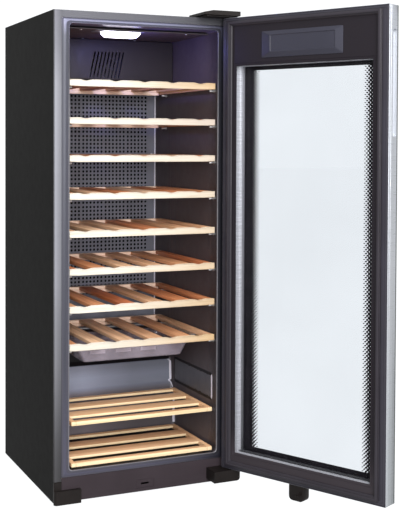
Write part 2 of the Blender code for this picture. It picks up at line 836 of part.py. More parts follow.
def bottom_hinge():
    """The block under the door that carries the lower pin, with its fixing plate."""
    low_z = 0.022
    top_z = 0.0575
    radius = 0.010
    outline = [(0.302, top_z), (0.212, top_z), (0.212, low_z)]
    for i in range(5):
        turn = -math.pi / 2 + i * math.pi / 8
        outline.append((0.302 - radius * (1 - math.cos(turn)), low_z + radius * (1 + math.sin(turn))))
    bracket = prism("bottom_hinge_bracket", outline, "Y", -0.352, -0.2903, "black_steel")
    plate_low = (0.2727, BRACKET_PLATE_Y, 0.0125)
    plate = box("plate", plate_low, (HALF_W, FRONT_Y + FLANGE_THICK, 0.0715), "black_steel")
    combine(bracket, plate, "UNION")
    pin = circle((HINGE_X, HINGE_Y), PIN_RADIUS, 16)
    combine(bracket, prism("pin", pin, "Z", top_z - 0.005, 0.072, "black_steel"), "UNION")


# ---- Door -------------------------------------------------------------------
def outer_pane():
    low = (-DOOR_HALF_W, DOOR_OUTER_Y, DOOR_LOW_Z)
    return box("outer_pane", low, (DOOR_HALF_W, PANE_BACK_Y, DOOR_TOP_Z), "glass")


def door_frame():
    """The aluminium edge frame, thinner at its rear lip, with a grip and pin holes."""
    steps = (0.0, FRAME_LIP, FRAME_WALL)
    xs = [-DOOR_HALF_W + s for s in steps] + [DOOR_HALF_W - s for s in reversed(steps)]
    zs = [DOOR_LOW_Z + s for s in steps] + [DOOR_TOP_Z - s for s in reversed(steps)]
    ys = (PANE_BACK_Y + 0.0005, FRAME_STEP_Y, DOOR_INNER_Y)

    def filled(i, j, k):
        ends = (0, 4) if j else (0, 1, 3, 4)
        return i in ends or k in ends

    frame = cells("door_frame", xs, ys, zs, filled, "aluminium")
    low = (-DOOR_HALF_W - 0.01, -0.341, 1.120)
    grip = box("grip", low, (-DOOR_HALF_W + 0.010, -0.314, 1.430), "aluminium")
    combine(frame, grip, "DIFFERENCE")
    bm = bmesh.new()
    for low_z, high_z in ((0.05, 0.08), (1.48, 1.51)):
        add_prism(bm, circle((HINGE_X, HINGE_Y), PIN_HOLE_RADIUS, 16), "Z", low_z, high_z)
    combine(frame, make_object("pin_holes", bm, "aluminium"), "DIFFERENCE")
    return frame


def door_inner_frame():
    """The black moulding round the inner glass, deeper at the top for the controls."""
    half = DOOR_HALF_W - FRAME_LIP - GAP
    low = DOOR_LOW_Z + FRAME_LIP + GAP
    top = DOOR_TOP_Z - FRAME_LIP - GAP
    return cells(
        "door_inner_frame",
        (-half, -VIEW_HALF_W, VIEW_HALF_W, half),
        (-0.3117, DOOR_INNER_Y),
        (low, VIEW_LOW_Z, VIEW_TOP_Z, top),
        lambda i, j, k: i != 1 or k != 1,
        "black_plastic",
    )


def door_gasket():
    return ring("door_gasket", 0.2795, 0.0735, 1.4865, 0.016, -0.3017, -0.2905, "rubber")


def inner_pane():
    return box("inner_pane", (-0.262, -0.3160, 0.1025), (0.262, -0.3120, 1.3585), "glass")


def pane_spacer():
    """The metal spacer bar between the two panes."""
    wall = 0.006
    half = VIEW_HALF_W + wall
    low = VIEW_LOW_Z - wall
    top = VIEW_TOP_Z + wall
    return ring("pane_spacer", half, low, top, wall, PANE_BACK_Y + 0.0003, -0.3163, "aluminium")


def control_cover():
    """The cover over the controls, with a shallow recessed panel."""
    return cells(
        "control_cover",
        (-0.1475, -0.1195, 0.1155, 0.1475),
        (DOOR_INNER_Y + GAP, -0.3007, -0.2997),
        (1.366, 1.384, 1.434, 1.447),
        lambda i, j, k: j == 0 or i != 1 or k != 1,
        "black_plastic",
    )


def control_board():
    return box("control_board", (-0.075, -0.3465, 1.380), (0.075, -0.3440, 1.438), "circuit_green")


def lock_body():
    """The lock's case under the door, round at its lower corners."""
    low_x = -0.0177
    high_x = 0.0453
    low_z = 0.010
    radius = 0.009
    outline = [(high_x, DOOR_LOW_Z - GAP), (low_x, DOOR_LOW_Z - GAP)]
    for centre_x, quarter in ((low_x + radius, 2), (high_x - radius, 3)):
        for i in range(5):
            turn = (quarter + i / 4) * math.pi / 2
            x = centre_x + radius * math.cos(turn)
            outline.append((x, low_z + radius + radius * math.sin(turn)))
    case = prism("lock_body", outline, "Y", -0.3465, -0.3065, "black_plastic")
    hole = prism("hole", circle((0.0, LOCK_Z), 0.0068, 16), "Y", -0.36, -0.30, "black_plastic")
    combine(case, hole, "DIFFERENCE")
    return case


def lock_barrel():
    """The key barrel, its shaft, and the bar that turns behind the plinth board."""
    axis = (0.0, LOCK_Z)
    barrel = prism("lock_barrel", circle(axis, 0.0064, 16), "Y", -0.3485, -0.3050, "zinc_steel")
    shaft = prism("shaft", circle(axis, 0.0025, 12), "Y", -0.3060, -0.2850, "zinc_steel")
    combine(barrel, shaft, "UNION")
    low = (-0.008, -0.2868, LOCK_Z - 0.0015)
    bar = box("bar", low, (0.008, -0.2838, LOCK_Z + 0.0015), "zinc_steel")
    combine(barrel, bar, "UNION")
    return barrel


def door():
    """Every door piece, hung on an empty that stands on the hinge axis."""
    hinge = bpy.data.objects.new("door_hinge_axis", None)
    hinge.location = HINGE_POINT
    hinge.rotation_euler.z = math.radians(DOOR_OPEN_DEG)
    bpy.context.collection.objects.link(hinge)
    builders = (
        outer_pane,
        door_frame,
        door_inner_frame,
        door_gasket,
        inner_pane,
        pane_spacer,
        control_cover,
        control_board,
        lock_body,
    )
    for build in builders:
        piece = build()
        set_origin(piece, HINGE_POINT)
        piece.location = (0.0, 0.0, 0.0)
        piece.parent = hinge
    barrel = lock_barrel()
    axis_point = Vector((0.0, -0.3265, LOCK_Z))
    set_origin(barrel, axis_point)
    barrel.location = axis_point - HINGE_POINT
    barrel.parent = hinge


def build_all():
    for old in list(bpy.data.objects):
        bpy.data.objects.remove(old, do_unlink=True)
    side_panels()
    top_panel()
    back_panel()
    base_plate()
    feet()
    front_frame()
    kick_panel()
    keeper_plate()
    foot_cover()
    inner_liner()
    insulation_foam()
    compressor()
    evaporation_pan()
    condenser()
    evaporator()
    power_inlet()
    duct_panel()
    fan_cover()
    fan_rotor()
    fan_motor()
    ceiling_pieces()
    shelf_fronts()
    shelf_frames()
    floor_shelves()
    humidity_tray()
    tray_hanger()
    top_hinge()
    bottom_hinge()
    door()


build_all()
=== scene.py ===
"""Looks of the wine cooler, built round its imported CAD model.

Metres, +Z up, the cabinet's front towards -Y.  Door pieces are drawn in the
closed position, in the cabinet's axes, and placed by the door's matrix, so that
their object coordinates stay square with the door.
"""

import itertools
import json
import math

import bmesh
import bpy
from mathutils import Matrix, Vector


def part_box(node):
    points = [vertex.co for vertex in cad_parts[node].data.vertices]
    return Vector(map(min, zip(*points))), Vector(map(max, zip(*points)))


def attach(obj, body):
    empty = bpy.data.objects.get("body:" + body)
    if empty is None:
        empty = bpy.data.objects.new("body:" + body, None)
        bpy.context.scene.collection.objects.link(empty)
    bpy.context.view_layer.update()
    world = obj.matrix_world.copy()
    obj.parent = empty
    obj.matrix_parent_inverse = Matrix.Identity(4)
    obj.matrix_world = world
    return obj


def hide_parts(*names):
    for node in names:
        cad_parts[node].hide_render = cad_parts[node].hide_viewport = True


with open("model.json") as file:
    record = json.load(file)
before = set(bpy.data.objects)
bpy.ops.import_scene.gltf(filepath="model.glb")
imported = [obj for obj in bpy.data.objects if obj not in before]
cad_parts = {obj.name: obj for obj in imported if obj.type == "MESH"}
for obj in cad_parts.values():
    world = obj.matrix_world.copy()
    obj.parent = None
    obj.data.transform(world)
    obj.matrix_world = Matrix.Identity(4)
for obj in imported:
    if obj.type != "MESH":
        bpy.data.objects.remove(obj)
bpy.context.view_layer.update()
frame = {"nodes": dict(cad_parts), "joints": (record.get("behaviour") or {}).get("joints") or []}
nodes = frame["nodes"]
joints = {joint["name"]: joint for joint in frame["joints"]}

# ---- Places read from the frame ----
LINER_LOW, LINER_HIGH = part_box("inner_liner")
FRONT_Y = LINER_LOW.y
DUCT_LOW, DUCT_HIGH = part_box("duct_panel")
FAN_LOW, FAN_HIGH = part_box("fan_cover")
CEILING_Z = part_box("ceiling_panel")[0].z
LENS_LOW, LENS_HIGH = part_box("lamp_lens")
SHELVES = range(1, 9)
SHELF_BOXES = {i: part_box(f"shelf_{i}_front") for i in SHELVES}
SHELF_TOPS = {i: SHELF_BOXES[i][1].z for i in SHELVES}
SHELF_PITCH = SHELF_TOPS[1] - SHELF_TOPS[2]

HINGE = Vector(joints["door_hinge"]["pos_m"])
OPEN_ANGLE = -math.radians(joints["door_hinge"]["range_deg"][0])
DOOR = Matrix.Translation(HINGE) @ Matrix.Rotation(OPEN_ANGLE, 4, "Z") @ Matrix.Translation(-HINGE)

# The liner's opening and the step over the compressor, as in the CAD model
OPENING_HALF_W = 0.249
OPENING_LOW_Z = 0.1012
OPENING_TOP_Z = 1.4625
LINER_BACK_Y = 0.258
STEP_EDGE_Z = 0.3355
STEP_TOP_Z = 0.425
FLANGE_TOP_Z = 1.4778
BODY_HEIGHT = 1.5
LOCK_AXIS = (0.0, 0.0335)  # across and height; the key turns about the depth

# ---- Shader helpers ----
NOISE_LOW, NOISE_HIGH = 0.3, 0.7  # the part of a noise's range that it uses most
WHITE = (1.0, 1.0, 1.0)
SKY = (0.98, 0.99, 1.0, 1.0)


def feed(node, inputs):
    """Link a node's inputs to sockets, or set them to values."""
    for key, value in inputs.items():
        if isinstance(value, bpy.types.NodeSocket):
            node.id_data.links.new(value, node.inputs[key])
        else:
            node.inputs[key].default_value = value
    return node


def add_node(tree, kind, inputs=None, **settings):
    node = tree.nodes.new(kind)
    for key, value in settings.items():
        setattr(node, key, value)
    return feed(node, inputs or {})


def start_material(name):
    material = bpy.data.materials.new(name)
    material.use_nodes = True
    tree = material.node_tree
    return material, tree, tree.nodes["Principled BSDF"]


def object_coordinates(tree, scale=(1.0, 1.0, 1.0)):
    source = add_node(tree, "ShaderNodeTexCoord").outputs["Object"]
    return add_node(tree, "ShaderNodeMapping", {"Vector": source, "Scale": scale}).outputs[0]


def noise(tree, vector, scale, detail=2.0, distortion=0.0):
    inputs = {"Vector": vector, "Scale": scale, "Detail": detail, "Distortion": distortion}
    return add_node(tree, "ShaderNodeTexNoise", inputs).outputs["Fac"]


def mapped(tree, value, low, high, to_low=0.0, to_high=1.0):
    inputs = {0: value, 1: low, 2: high, 3: to_low, 4: to_high}
    return add_node(tree, "ShaderNodeMapRange", inputs).outputs[0]


def follow(tree, pattern, low, high):
    """A value that follows a noise from low to high."""
    return mapped(tree, pattern, NOISE_LOW, NOISE_HIGH, low, high)


def maths(tree, operation, first, second=0.0):
    return add_node(tree, "ShaderNodeMath", {0: first, 1: second}, operation=operation).outputs[0]


def vectors(tree, operation, first, second):
    inputs = {0: first, 1: second}
    return add_node(tree, "ShaderNodeVectorMath", inputs, operation=operation).outputs[0]


def ramp(tree, factor, stops):
    """A colour ramp; each stop is a position and the colour's three parts."""
    node = add_node(tree, "ShaderNodeValToRGB", {"Fac": factor})
    elements = node.color_ramp.elements
    for position, *_ in stops[1:-1]:
        elements.new(position)
    for element, (position, *colour) in zip(elements, stops):
        element.position = position
        element.color = (*colour, 1.0)
    return node.outputs["Color"]


def tones(tree, pattern, low, high):
    """A colour that follows a noise from low to high."""
    return ramp(tree, pattern, ((NOISE_LOW, *low), (NOISE_HIGH, *high)))


def scaled(colour, share):
    return tuple(channel * share for channel in colour)


def blended(tree, share, first, second, blend_type="MIX"):
    inputs = {"Factor": share, 6: first, 7: second}
    node = add_node(tree, "ShaderNodeMix", inputs, data_type="RGBA", blend_type=blend_type)
    return node.outputs[2]


def multiplied(tree, first, second, share=1.0):
    return blended(tree, share, first, second, "MULTIPLY")


def bumped(tree, height, strength, distance):
    inputs = {"Height": height, "Strength": strength, "Distance": distance}
    return add_node(tree, "ShaderNodeBump", inputs).outputs["Normal"]


def split(tree, vector):
    return add_node(tree, "ShaderNodeSeparateXYZ", {0: vector}).outputs


def show_mix(tree, share, first, second):
    """Make the material's surface a mix of two shaders."""
    mix = add_node(tree, "ShaderNodeMixShader", {0: share, 1: first, 2: second})
    feed(tree.nodes["Material Output"], {"Surface": mix.outputs[0]})


# ---- Materials ----
def moulded(name, colour, roughness, grain, grain_scale, drift, specular, wear=0.06):
    """Moulded plastic or paint: a fine grain, with slow drifts of tone and polish."""
    material, tree, shader = start_material(name)
    place = object_coordinates(tree)
    slow = noise(tree, place, 5.0, 4.0, 0.4)
    handled = noise(tree, place, 38.0, 5.0)
    finish = {
        "Base Color": tones(tree, slow, scaled(colour, 1 - drift), scaled(colour, 1 + drift)),
        "Roughness": follow(tree, handled, roughness - wear, roughness + wear),
        "Specular IOR Level": specular,
        "Normal": bumped(tree, noise(tree, place, grain_scale), grain, 0.0003),
    }
    feed(shader, finish)
    return material


EVEN = ((0.0, 1.0), (1.0, 1.0))


def graded(name, roughness, metallic, stops, fade=EVEN, specular=0.5):
    """A satin finish with fine brushed lines, whose tone changes with height and across.

    stops run up the cabinet's height.  fade gives shares of the tone at places
    along X.  On the front band, flange, rim and step they paint light and shade.
    """
    material, tree, shader = start_material(name)
    parts = split(tree, object_coordinates(tree))
    tone = ramp(tree, mapped(tree, parts[2], 0.0, BODY_HEIGHT), stops)
    low, high = fade[0][0], fade[-1][0]
    shares = [((x - low) / (high - low), share, share, share) for x, share in fade]
    tone = multiplied(tree, tone, ramp(tree, mapped(tree, parts[0], low, high), shares))
    lines = noise(tree, object_coordinates(tree, (2.0, 2.0, 160.0)), 9.0, 5.0)
    finish = {
        "Base Color": multiplied(tree, tone, tones(tree, lines, scaled(WHITE, 0.9), WHITE)),
        "Roughness": mapped(tree, lines, 0.25, 0.75, roughness - 0.05, roughness + 0.08),
        "Metallic": metallic,
        "Specular IOR Level": specular,
        "Normal": bumped(tree, lines, 0.08, 0.0002),
    }
    feed(shader, finish)
    return material


def wood(name, along, boards, grain_depth, stops, painted_end_shade=None):
    """Sawn wood with its grain along one axis; tones are picked board by board.

    boards gives, for X, Y and Z, the pitch of the boards and the offset of their
    edges, or None where a board runs through.  The end fade gives two places along X
    between which the tone turns to a painted shade of the wood towards the right end;
    the shade's colour runs through stops from the lowest bottle shelf to the highest.
    """
    material, tree, shader = start_material(name)
    parts = split(tree, object_coordinates(tree))
    cells = [0.0, 0.0, 0.0]
    for axis, board in enumerate(boards):
        if board:
            pitch, offset = board
            shifted = maths(tree, "ADD", maths(tree, "DIVIDE", parts[axis], pitch), offset)
            cells[axis] = maths(tree, "FLOOR", shifted)
    cell = add_node(tree, "ShaderNodeCombineXYZ", dict(enumerate(cells))).outputs[0]
    pick = add_node(tree, "ShaderNodeTexWhiteNoise", {"Vector": cell}, noise_dimensions="3D")
    tone = ramp(tree, pick.outputs["Value"], stops)
    # Towards the right end the tone turns to a painted shade of the wood.
    if painted_end_shade:
        start, end, end_shade_stops = painted_end_shade
        end_shade_tone = ramp(tree, mapped(tree, parts[2], SHELF_TOPS[8], SHELF_TOPS[1]), end_shade_stops)
        tone = blended(tree, mapped(tree, parts[0], start, end), tone, end_shade_tone)
    grain_scale = [42.0, 42.0, 42.0]
    grain_scale[along] = 1.8
    shift = vectors(tree, "MULTIPLY", cell, (3.1, 5.7, 4.3))
    moved = vectors(tree, "ADD", object_coordinates(tree, grain_scale), shift)
    rings = noise(tree, moved, 1.3, 5.0, 1.4)
    fine = noise(tree, moved, 9.0, 3.0, 0.2)
    dark = 1.0 - grain_depth
    bands = ramp(tree, rings, ((0.32, dark, dark * 0.96, dark * 0.9), (0.62, 1.06, 1.04, 1.02)))
    pores = ramp(tree, fine, ((0.25, 0.86, 0.82, 0.76), (0.55, *WHITE)))
    finish = {
        "Base Color": multiplied(tree, multiplied(tree, tone, bands), pores, 0.7),
        "Roughness": follow(tree, rings, 0.56, 0.43),
        "Specular IOR Level": 0.35,
        "Normal": bumped(tree, fine, 0.22, 0.0003),
    }
    feed(shader, finish)
    return material


def clear_sheet(name, gloss, smudge):
    """Thin clear glass: what is behind it, tinted, under a faint mirror."""
    tint = (0.966, 0.976, 0.986)
    material, tree, shader = start_material(name)
    marks = noise(tree, object_coordinates(tree), 3.0, 4.0, 0.6)
    through = ramp(tree, marks, ((0.35, *scaled(tint, 1 - smudge)), (0.65, *tint)))
    clear = add_node(tree, "ShaderNodeBsdfTransparent", {"Color": through})
    finish = {
        "Base Color": (*scaled(tint, 0.05), 1.0),
        "Roughness": follow(tree, marks, 0.02, 0.05),
    }
    feed(shader, finish)
    edge = add_node(tree, "ShaderNodeLayerWeight", {"Blend": 0.1}).outputs["Fresnel"]
    share = mapped(tree, edge, 0.0, 1.0, gloss, 0.55)
    show_mix(tree, share, clear.outputs[0], shader.outputs[0])
    return material


def smoky_plastic(name, colour, alpha):
    """Clear moulded plastic with a smoky, clouded body."""
    material, tree, shader = start_material(name)
    place = object_coordinates(tree)
    cloud = noise(tree, place, 14.0, 4.0, 0.5)
    finish = {
        "Base Color": tones(tree, cloud, scaled(colour, 0.8), scaled(colour, 1.2)),
        "Roughness": follow(tree, cloud, 0.1, 0.2),
        "Alpha": alpha,
        "Normal": bumped(tree, noise(tree, place, 60.0), 0.15, 0.0004),
    }
    feed(shader, finish)
    return material


def printed_glass(name, solid_x, clear_x, low_z, top_z, pitch):
    """Clear glass with a black printed border whose sides fade out in round dots."""
    material = clear_sheet(name, 0.06, 0.015)
    tree = material.node_tree
    glass = tree.nodes["Material Output"].inputs["Surface"].links[0].from_socket
    place = object_coordinates(tree)
    parts = split(tree, place)
    waves = []
    for axis in (0, 2):
        turns = maths(tree, "MULTIPLY", parts[axis], 2 * math.pi / pitch)
        waves.append(maths(tree, "COSINE", turns))
    lattice = maths(tree, "MULTIPLY", *waves)
    limit = mapped(tree, maths(tree, "ABSOLUTE", parts[0]), clear_x, solid_x, 1.02, -1.02)
    sides = maths(tree, "GREATER_THAN", lattice, limit)
    above = maths(tree, "GREATER_THAN", parts[2], top_z)
    below = maths(tree, "LESS_THAN", parts[2], low_z)
    mask = maths(tree, "MAXIMUM", sides, maths(tree, "MAXIMUM", above, below))
    ink_tone = tones(tree, noise(tree, place, 30.0), (0.008, 0.007, 0.009), (0.013, 0.011, 0.014))
    ink_finish = {"Base Color": ink_tone, "Roughness": 0.12, "Specular IOR Level": 0.12}
    ink = add_node(tree, "ShaderNodeBsdfPrincipled", ink_finish)
    show_mix(tree, mask, glass, ink.outputs[0])
    return material


def glowing(name, colour, strength):
    """A lit diffuser, brighter in its middle than at its ends."""
    material, tree, shader = start_material(name)
    place = object_coordinates(tree)
    middle = (LENS_LOW.x + LENS_HIGH.x) / 2
    half = (LENS_HIGH.x - LENS_LOW.x) / 2
    away = maths(tree, "ABSOLUTE", maths(tree, "SUBTRACT", split(tree, place)[0], middle))
    grain = tones(tree, noise(tree, place, 300.0), scaled(colour, 0.92), colour)
    finish = {
        "Base Color": grain,
        "Emission Color": grain,
        "Emission Strength": mapped(tree, away, 0.6 * half, half, strength, 0.45 * strength),
        "Roughness": 0.3,
    }
    feed(shader, finish)
    return material


SCALLOP_PITCH = 0.0955
SHELF_CELL = (SHELF_PITCH, 20.0 - SHELF_TOPS[1] / SHELF_PITCH)
BOTTLE_SHELF = (None, None, SHELF_CELL)
FLOOR_SHELF = (None, (0.058, 0.2), SHELF_CELL)

# Painted light and shade across the front band: a dark outer edge, a painted highlight on the left band,
# painted shade in the groove by the flange, and painted shade growing towards the hinge side, where the
# door shades it.
FRONT_BAND_PAINTED_SHADING = (
    (-0.2975, 0.12), (-0.2957, 0.12), (-0.2945, 0.8), (-0.292, 0.9), (-0.273, 0.5),
    (-0.26, 0.58), (0.0, 0.5), (0.2, 0.34), (0.2975, 0.27),
)
# Painted shade across the flange and its groove, darkening towards the hinge side, where the door shades
# them.
FLANGE_PAINTED_SHADE = ((-0.27, 1.0), (0.0, 1.0), (0.2, 0.6), (0.245, 0.35), (0.27, 0.25))
# Painted shade across the rim bead, a little darker towards the hinge side.
RIM_PAINTED_SHADE = ((-0.27, 1.0), (0.2, 0.9), (0.27, 0.8))
# A painted sheen across the step's face, brightest at the left and fading towards the right.
STEP_PAINTED_SHEEN = ((-0.25, 2.2), (-0.08, 2.2), (0.0, 1.55), (0.1, 1.1), (0.25, 0.94))

PLASTICS = (  # name, colour, roughness, grain and its scale, drift of tone, shine, wear
    ("case_paint", (0.0054, 0.0052, 0.0048), 0.5, 0.03, 900.0, 0.1, 0.03, 0.02),
    ("liner", (0.065, 0.054, 0.061), 0.42, 0.2, 800.0, 0.12, 0.35),
    ("lit_lip", (0.11, 0.104, 0.18), 0.4, 0.1, 800.0, 0.12, 0.4),
    # A dark copy of the liner, painted shade: on the step's top under the tray, on the floor inside and
    # round the wall fields.
    ("painted_shade", (0.013, 0.012, 0.015), 0.5, 0.2, 800.0, 0.12, 0.15),
    ("field", (0.07, 0.073, 0.092), 0.4, 0.2, 700.0, 0.12, 0.4),
    ("bead", (0.04, 0.038, 0.046), 0.3, 0.1, 500.0, 0.1, 0.4),
    ("duct", (0.155, 0.16, 0.2), 0.42, 0.2, 900.0, 0.15, 0.45),
    ("shadow_black", (0.004, 0.004, 0.005), 0.6, 0.2, 900.0, 0.15, 0.1),
    ("fan_cover", (0.024, 0.02, 0.021), 0.5, 0.25, 900.0, 0.15, 0.25),
    ("ceiling", (0.07, 0.06, 0.068), 0.5, 0.25, 900.0, 0.15, 0.25),
    ("kick", (0.028, 0.021, 0.025), 0.5, 0.3, 800.0, 0.15, 0.12),
    ("black", (0.009, 0.007, 0.0065), 0.4, 0.25, 900.0, 0.2, 0.15),
    ("door_rim", (0.03, 0.028, 0.037), 0.36, 0.15, 900.0, 0.12, 0.3),
    ("door_panel", (0.026, 0.026, 0.038), 0.42, 0.2, 900.0, 0.1, 0.28),
    ("rubber", (0.016, 0.014, 0.018), 0.36, 0.15, 500.0, 0.15, 0.25),
    # A lighter copy of the rubber, a painted highlight on the seal's folds.
    ("rubber_fold_highlight", (0.026, 0.023, 0.029), 0.34, 0.15, 500.0, 0.15, 0.2),
    ("pane_edge", (0.045, 0.05, 0.05), 0.3, 0.05, 500.0, 0.15, 0.2),
    # A bright copy for coves and edges, a painted highlight.
    ("seam", (0.7, 0.69, 0.8), 0.3, 0.1, 500.0, 0.1, 0.6),
    ("foam", (0.7, 0.62, 0.4), 0.9, 0.6, 220.0, 0.12, 0.2),
    ("green_board", (0.02, 0.12, 0.05), 0.45, 0.2, 300.0, 0.2, 0.4),
)

SATINS = (  # name, roughness, metallic, tones from foot to top, fade across, shine
    ("zinc", 0.35, 1.0, ((0.0, 0.5, 0.51, 0.53), (1.0, 0.58, 0.59, 0.61))),
    ("grip_metal", 0.45, 0.5, ((0.0, 0.46, 0.48, 0.51), (1.0, 0.5, 0.52, 0.56))),
    ("spacer", 0.25, 0.2, ((0.0, 0.58, 0.57, 0.61), (1.0, 0.78, 0.77, 0.82))),
    ("spacer_body", 0.25, 0.2, (
        (0.0782, 0.07, 0.068, 0.073), (0.0792, 0.57, 0.56, 0.6), (1.0, 0.75, 0.74, 0.79),
    )),
    ("spacer_seal", 0.3, 0.1, (
        (0.07, 0.05, 0.05, 0.055), (0.12, 0.12, 0.12, 0.13), (1.0, 0.28, 0.27, 0.3),
    )),
    ("edge_strip", 0.3, 0.6, (
        (0.0, 0.44, 0.46, 0.49), (0.5, 0.49, 0.51, 0.55), (1.0, 0.48, 0.5, 0.55),
    )),
    ("aluminium", 0.3, 0.85, (
        (0.0, 0.45, 0.48, 0.5), (0.2, 0.5, 0.53, 0.56), (0.5, 0.62, 0.64, 0.68),
        (0.8, 0.5, 0.52, 0.56), (1.0, 0.51, 0.53, 0.58),
    )),
    ("door_black", 0.36, 0.0, (
        (0.04, 0.036, 0.03, 0.035), (0.085, 0.03, 0.025, 0.03), (0.13, 0.015, 0.0125, 0.016),
        (1.0, 0.0135, 0.011, 0.0145),
    ), EVEN, 0.16),
    # The step face's tones up the height are painted light: painted shade at its foot and a painted
    # sheen in bands above.
    ("step_face", 0.36, 0.0, (
        (0.16, 0.06, 0.05, 0.058), (0.172, 0.12, 0.13, 0.175), (0.195, 0.15, 0.164, 0.222),
        (0.215, 0.125, 0.136, 0.182), (0.226, 0.14, 0.15, 0.2),
    ), STEP_PAINTED_SHEEN),
    # The front band's tones up the height are a painted reflection. It is brightest from mid height to
    # near the top and fades dark towards the foot.
    ("front_metal", 0.42, 0.45, (
        (0.07, 0.061, 0.06, 0.065), (0.13, 0.077, 0.077, 0.085), (0.21, 0.129, 0.129, 0.143),
        (0.29, 0.178, 0.179, 0.2), (0.37, 0.196, 0.199, 0.222), (0.45, 0.244, 0.246, 0.278),
        (0.61, 0.24, 0.244, 0.276), (0.77, 0.238, 0.242, 0.274), (0.85, 0.228, 0.231, 0.261),
        (0.93, 0.155, 0.156, 0.182), (1.0, 0.133, 0.133, 0.156),
    ), FRONT_BAND_PAINTED_SHADING),
    # The flange's tones up the height paint a highlight along the bottom lip and a brighter head, with
    # darker tone between.
    ("flange", 0.36, 0.15, (
        (0.0, 0.09, 0.088, 0.125), (0.06, 0.06, 0.058, 0.085), (0.3, 0.036, 0.037, 0.05),
        (0.9, 0.04, 0.042, 0.058), (0.95, 0.052, 0.054, 0.075), (0.975, 0.14, 0.142, 0.21),
        (1.0, 0.14, 0.142, 0.21),
    ), FLANGE_PAINTED_SHADE, 0.3),
    ("flange_groove", 0.4, 0.1, (
        (0.0, 0.058, 0.056, 0.072), (0.95, 0.046, 0.047, 0.06), (1.0, 0.056, 0.054, 0.086),
    ), FLANGE_PAINTED_SHADE, 0.15),
    # The rim's tones up the height paint its light: brighter up the sides, darker under the head, and
    # violet light on the head.
    ("rim", 0.3, 0.1, (
        (0.0, 0.14, 0.136, 0.155), (0.8, 0.14, 0.138, 0.152), (0.89, 0.04, 0.039, 0.05),
        (1.0, 0.055, 0.052, 0.098),
    ), RIM_PAINTED_SHADE),
)

# Painted shade at the right ends of the front boards: the tone turns darker and more orange towards the
# right, shelf by shelf.
PALE_WOOD_END_SHADE = (-0.12, 0.25, (
    (0.0, 0.46, 0.32, 0.175), (0.57, 0.48, 0.42, 0.34), (0.86, 0.42, 0.36, 0.31),
    (1.0, 0.45, 0.32, 0.18),
))
WOODS = (  # name, axis of the grain, boards, depth of the grain, tones, painted shade at the right end
    ("pale_wood", 0, BOTTLE_SHELF, 0.1, (
        (0.0, 0.51, 0.485, 0.435),
        (1.0, 0.56, 0.54, 0.49),
    ), PALE_WOOD_END_SHADE),
    ("slats", 1, ((SCALLOP_PITCH, 10.0), None, SHELF_CELL), 0.34, (
        (0.0, 0.5, 0.16, 0.065), (0.3, 0.64, 0.27, 0.125), (0.6, 0.68, 0.37, 0.2),
        (1.0, 0.8, 0.57, 0.38),
    )),
    ("rear_wood", 0, BOTTLE_SHELF, 0.12, ((0.0, 0.82, 0.6, 0.48), (1.0, 0.9, 0.7, 0.58))),
    ("floor_wood", 0, FLOOR_SHELF, 0.14, (
        (0.0, 0.66, 0.38, 0.21), (0.5, 0.72, 0.44, 0.25), (1.0, 0.76, 0.49, 0.3),
    )),
    # A paler copy of the floor wood, a painted highlight on the boards' fronts.
    ("floor_wood_front_highlight", 0, FLOOR_SHELF, 0.12, ((0.0, 0.66, 0.52, 0.32), (1.0, 0.74, 0.6, 0.4))),
)

MATERIALS = {row[0]: moulded(*row) for row in PLASTICS}
MATERIALS |= {row[0]: graded(*row) for row in SATINS}
MATERIALS |= {row[0]: wood(*row) for row in WOODS}
MATERIALS |= {
    "inner_glass": clear_sheet("inner_glass", 0.008, 0.004),
    "outer_glass": printed_glass("outer_glass", 0.229, 0.188, 0.1315, 1.332, 0.0118),
    "tray_plastic": smoky_plastic("tray_plastic", (0.33, 0.285, 0.34), 0.5),
    # A paler copy of the tray's plastic, painted reflections on the pads on its front.
    "tray_painted_reflection": smoky_plastic("tray_painted_reflection", (0.5, 0.43, 0.5), 0.55),
    "lamp": glowing("lamp", (0.88, 0.86, 1.0), 9.0),
}


# ---- Mesh helpers ----
def add_box(bm, low, high, bevel, segments=2):
    """A box between two corners, its edges rounded by bevel."""
    size = [b - a for a, b in zip(low, high)]
    centre = [(a + b) / 2 for a, b in zip(low, high)]
    matrix = Matrix.Translation(centre) @ Matrix.Diagonal((*size, 1.0))
    made = bmesh.ops.create_cube(bm, size=1.0, matrix=matrix)
    edges = list({edge for vertex in made["verts"] for edge in vertex.link_edges})
    bmesh.ops.bevel(bm, geom=edges, offset=bevel, segments=segments, profile=0.6, affect="EDGES")


def add_side_box(bm, side, across, depth, height, bevel, segments=2):
    """A box right (1) or left (-1) of the middle; each pair is its reach along an axis."""
    near, far = sorted(side * x for x in across)
    add_box(bm, (near, depth[0], height[0]), (far, depth[1], height[1]), bevel, segments)


def add_loft(bm, loops, closed=False, bands=None):
    """Loops of points with equal counts joined in turn; the ends are capped unless it closes.

    bands gives the material index of the faces after each loop.
    """
    rings = [[bm.verts.new(point) for point in loop] for loop in loops]
    pairs = list(zip(rings, rings[1:]))
    if closed:
        pairs.append((rings[-1], rings[0]))
    else:
        bm.faces.new(rings[0])
        bm.faces.new(reversed(rings[-1]))
    count = len(loops[0])
    for index, (lower, upper) in enumerate(pairs):
        for i in range(count):
            j = (i + 1) % count
            face = bm.faces.new((lower[j], lower[i], upper[i], upper[j]))
            if bands:
                face.material_index = bands[index]


def loft(loops, closed=False, bands=None):
    bm = bmesh.new()
    add_loft(bm, loops, closed, bands)
    return bm


def bands_of(section):
    return [row[-1] for row in section]


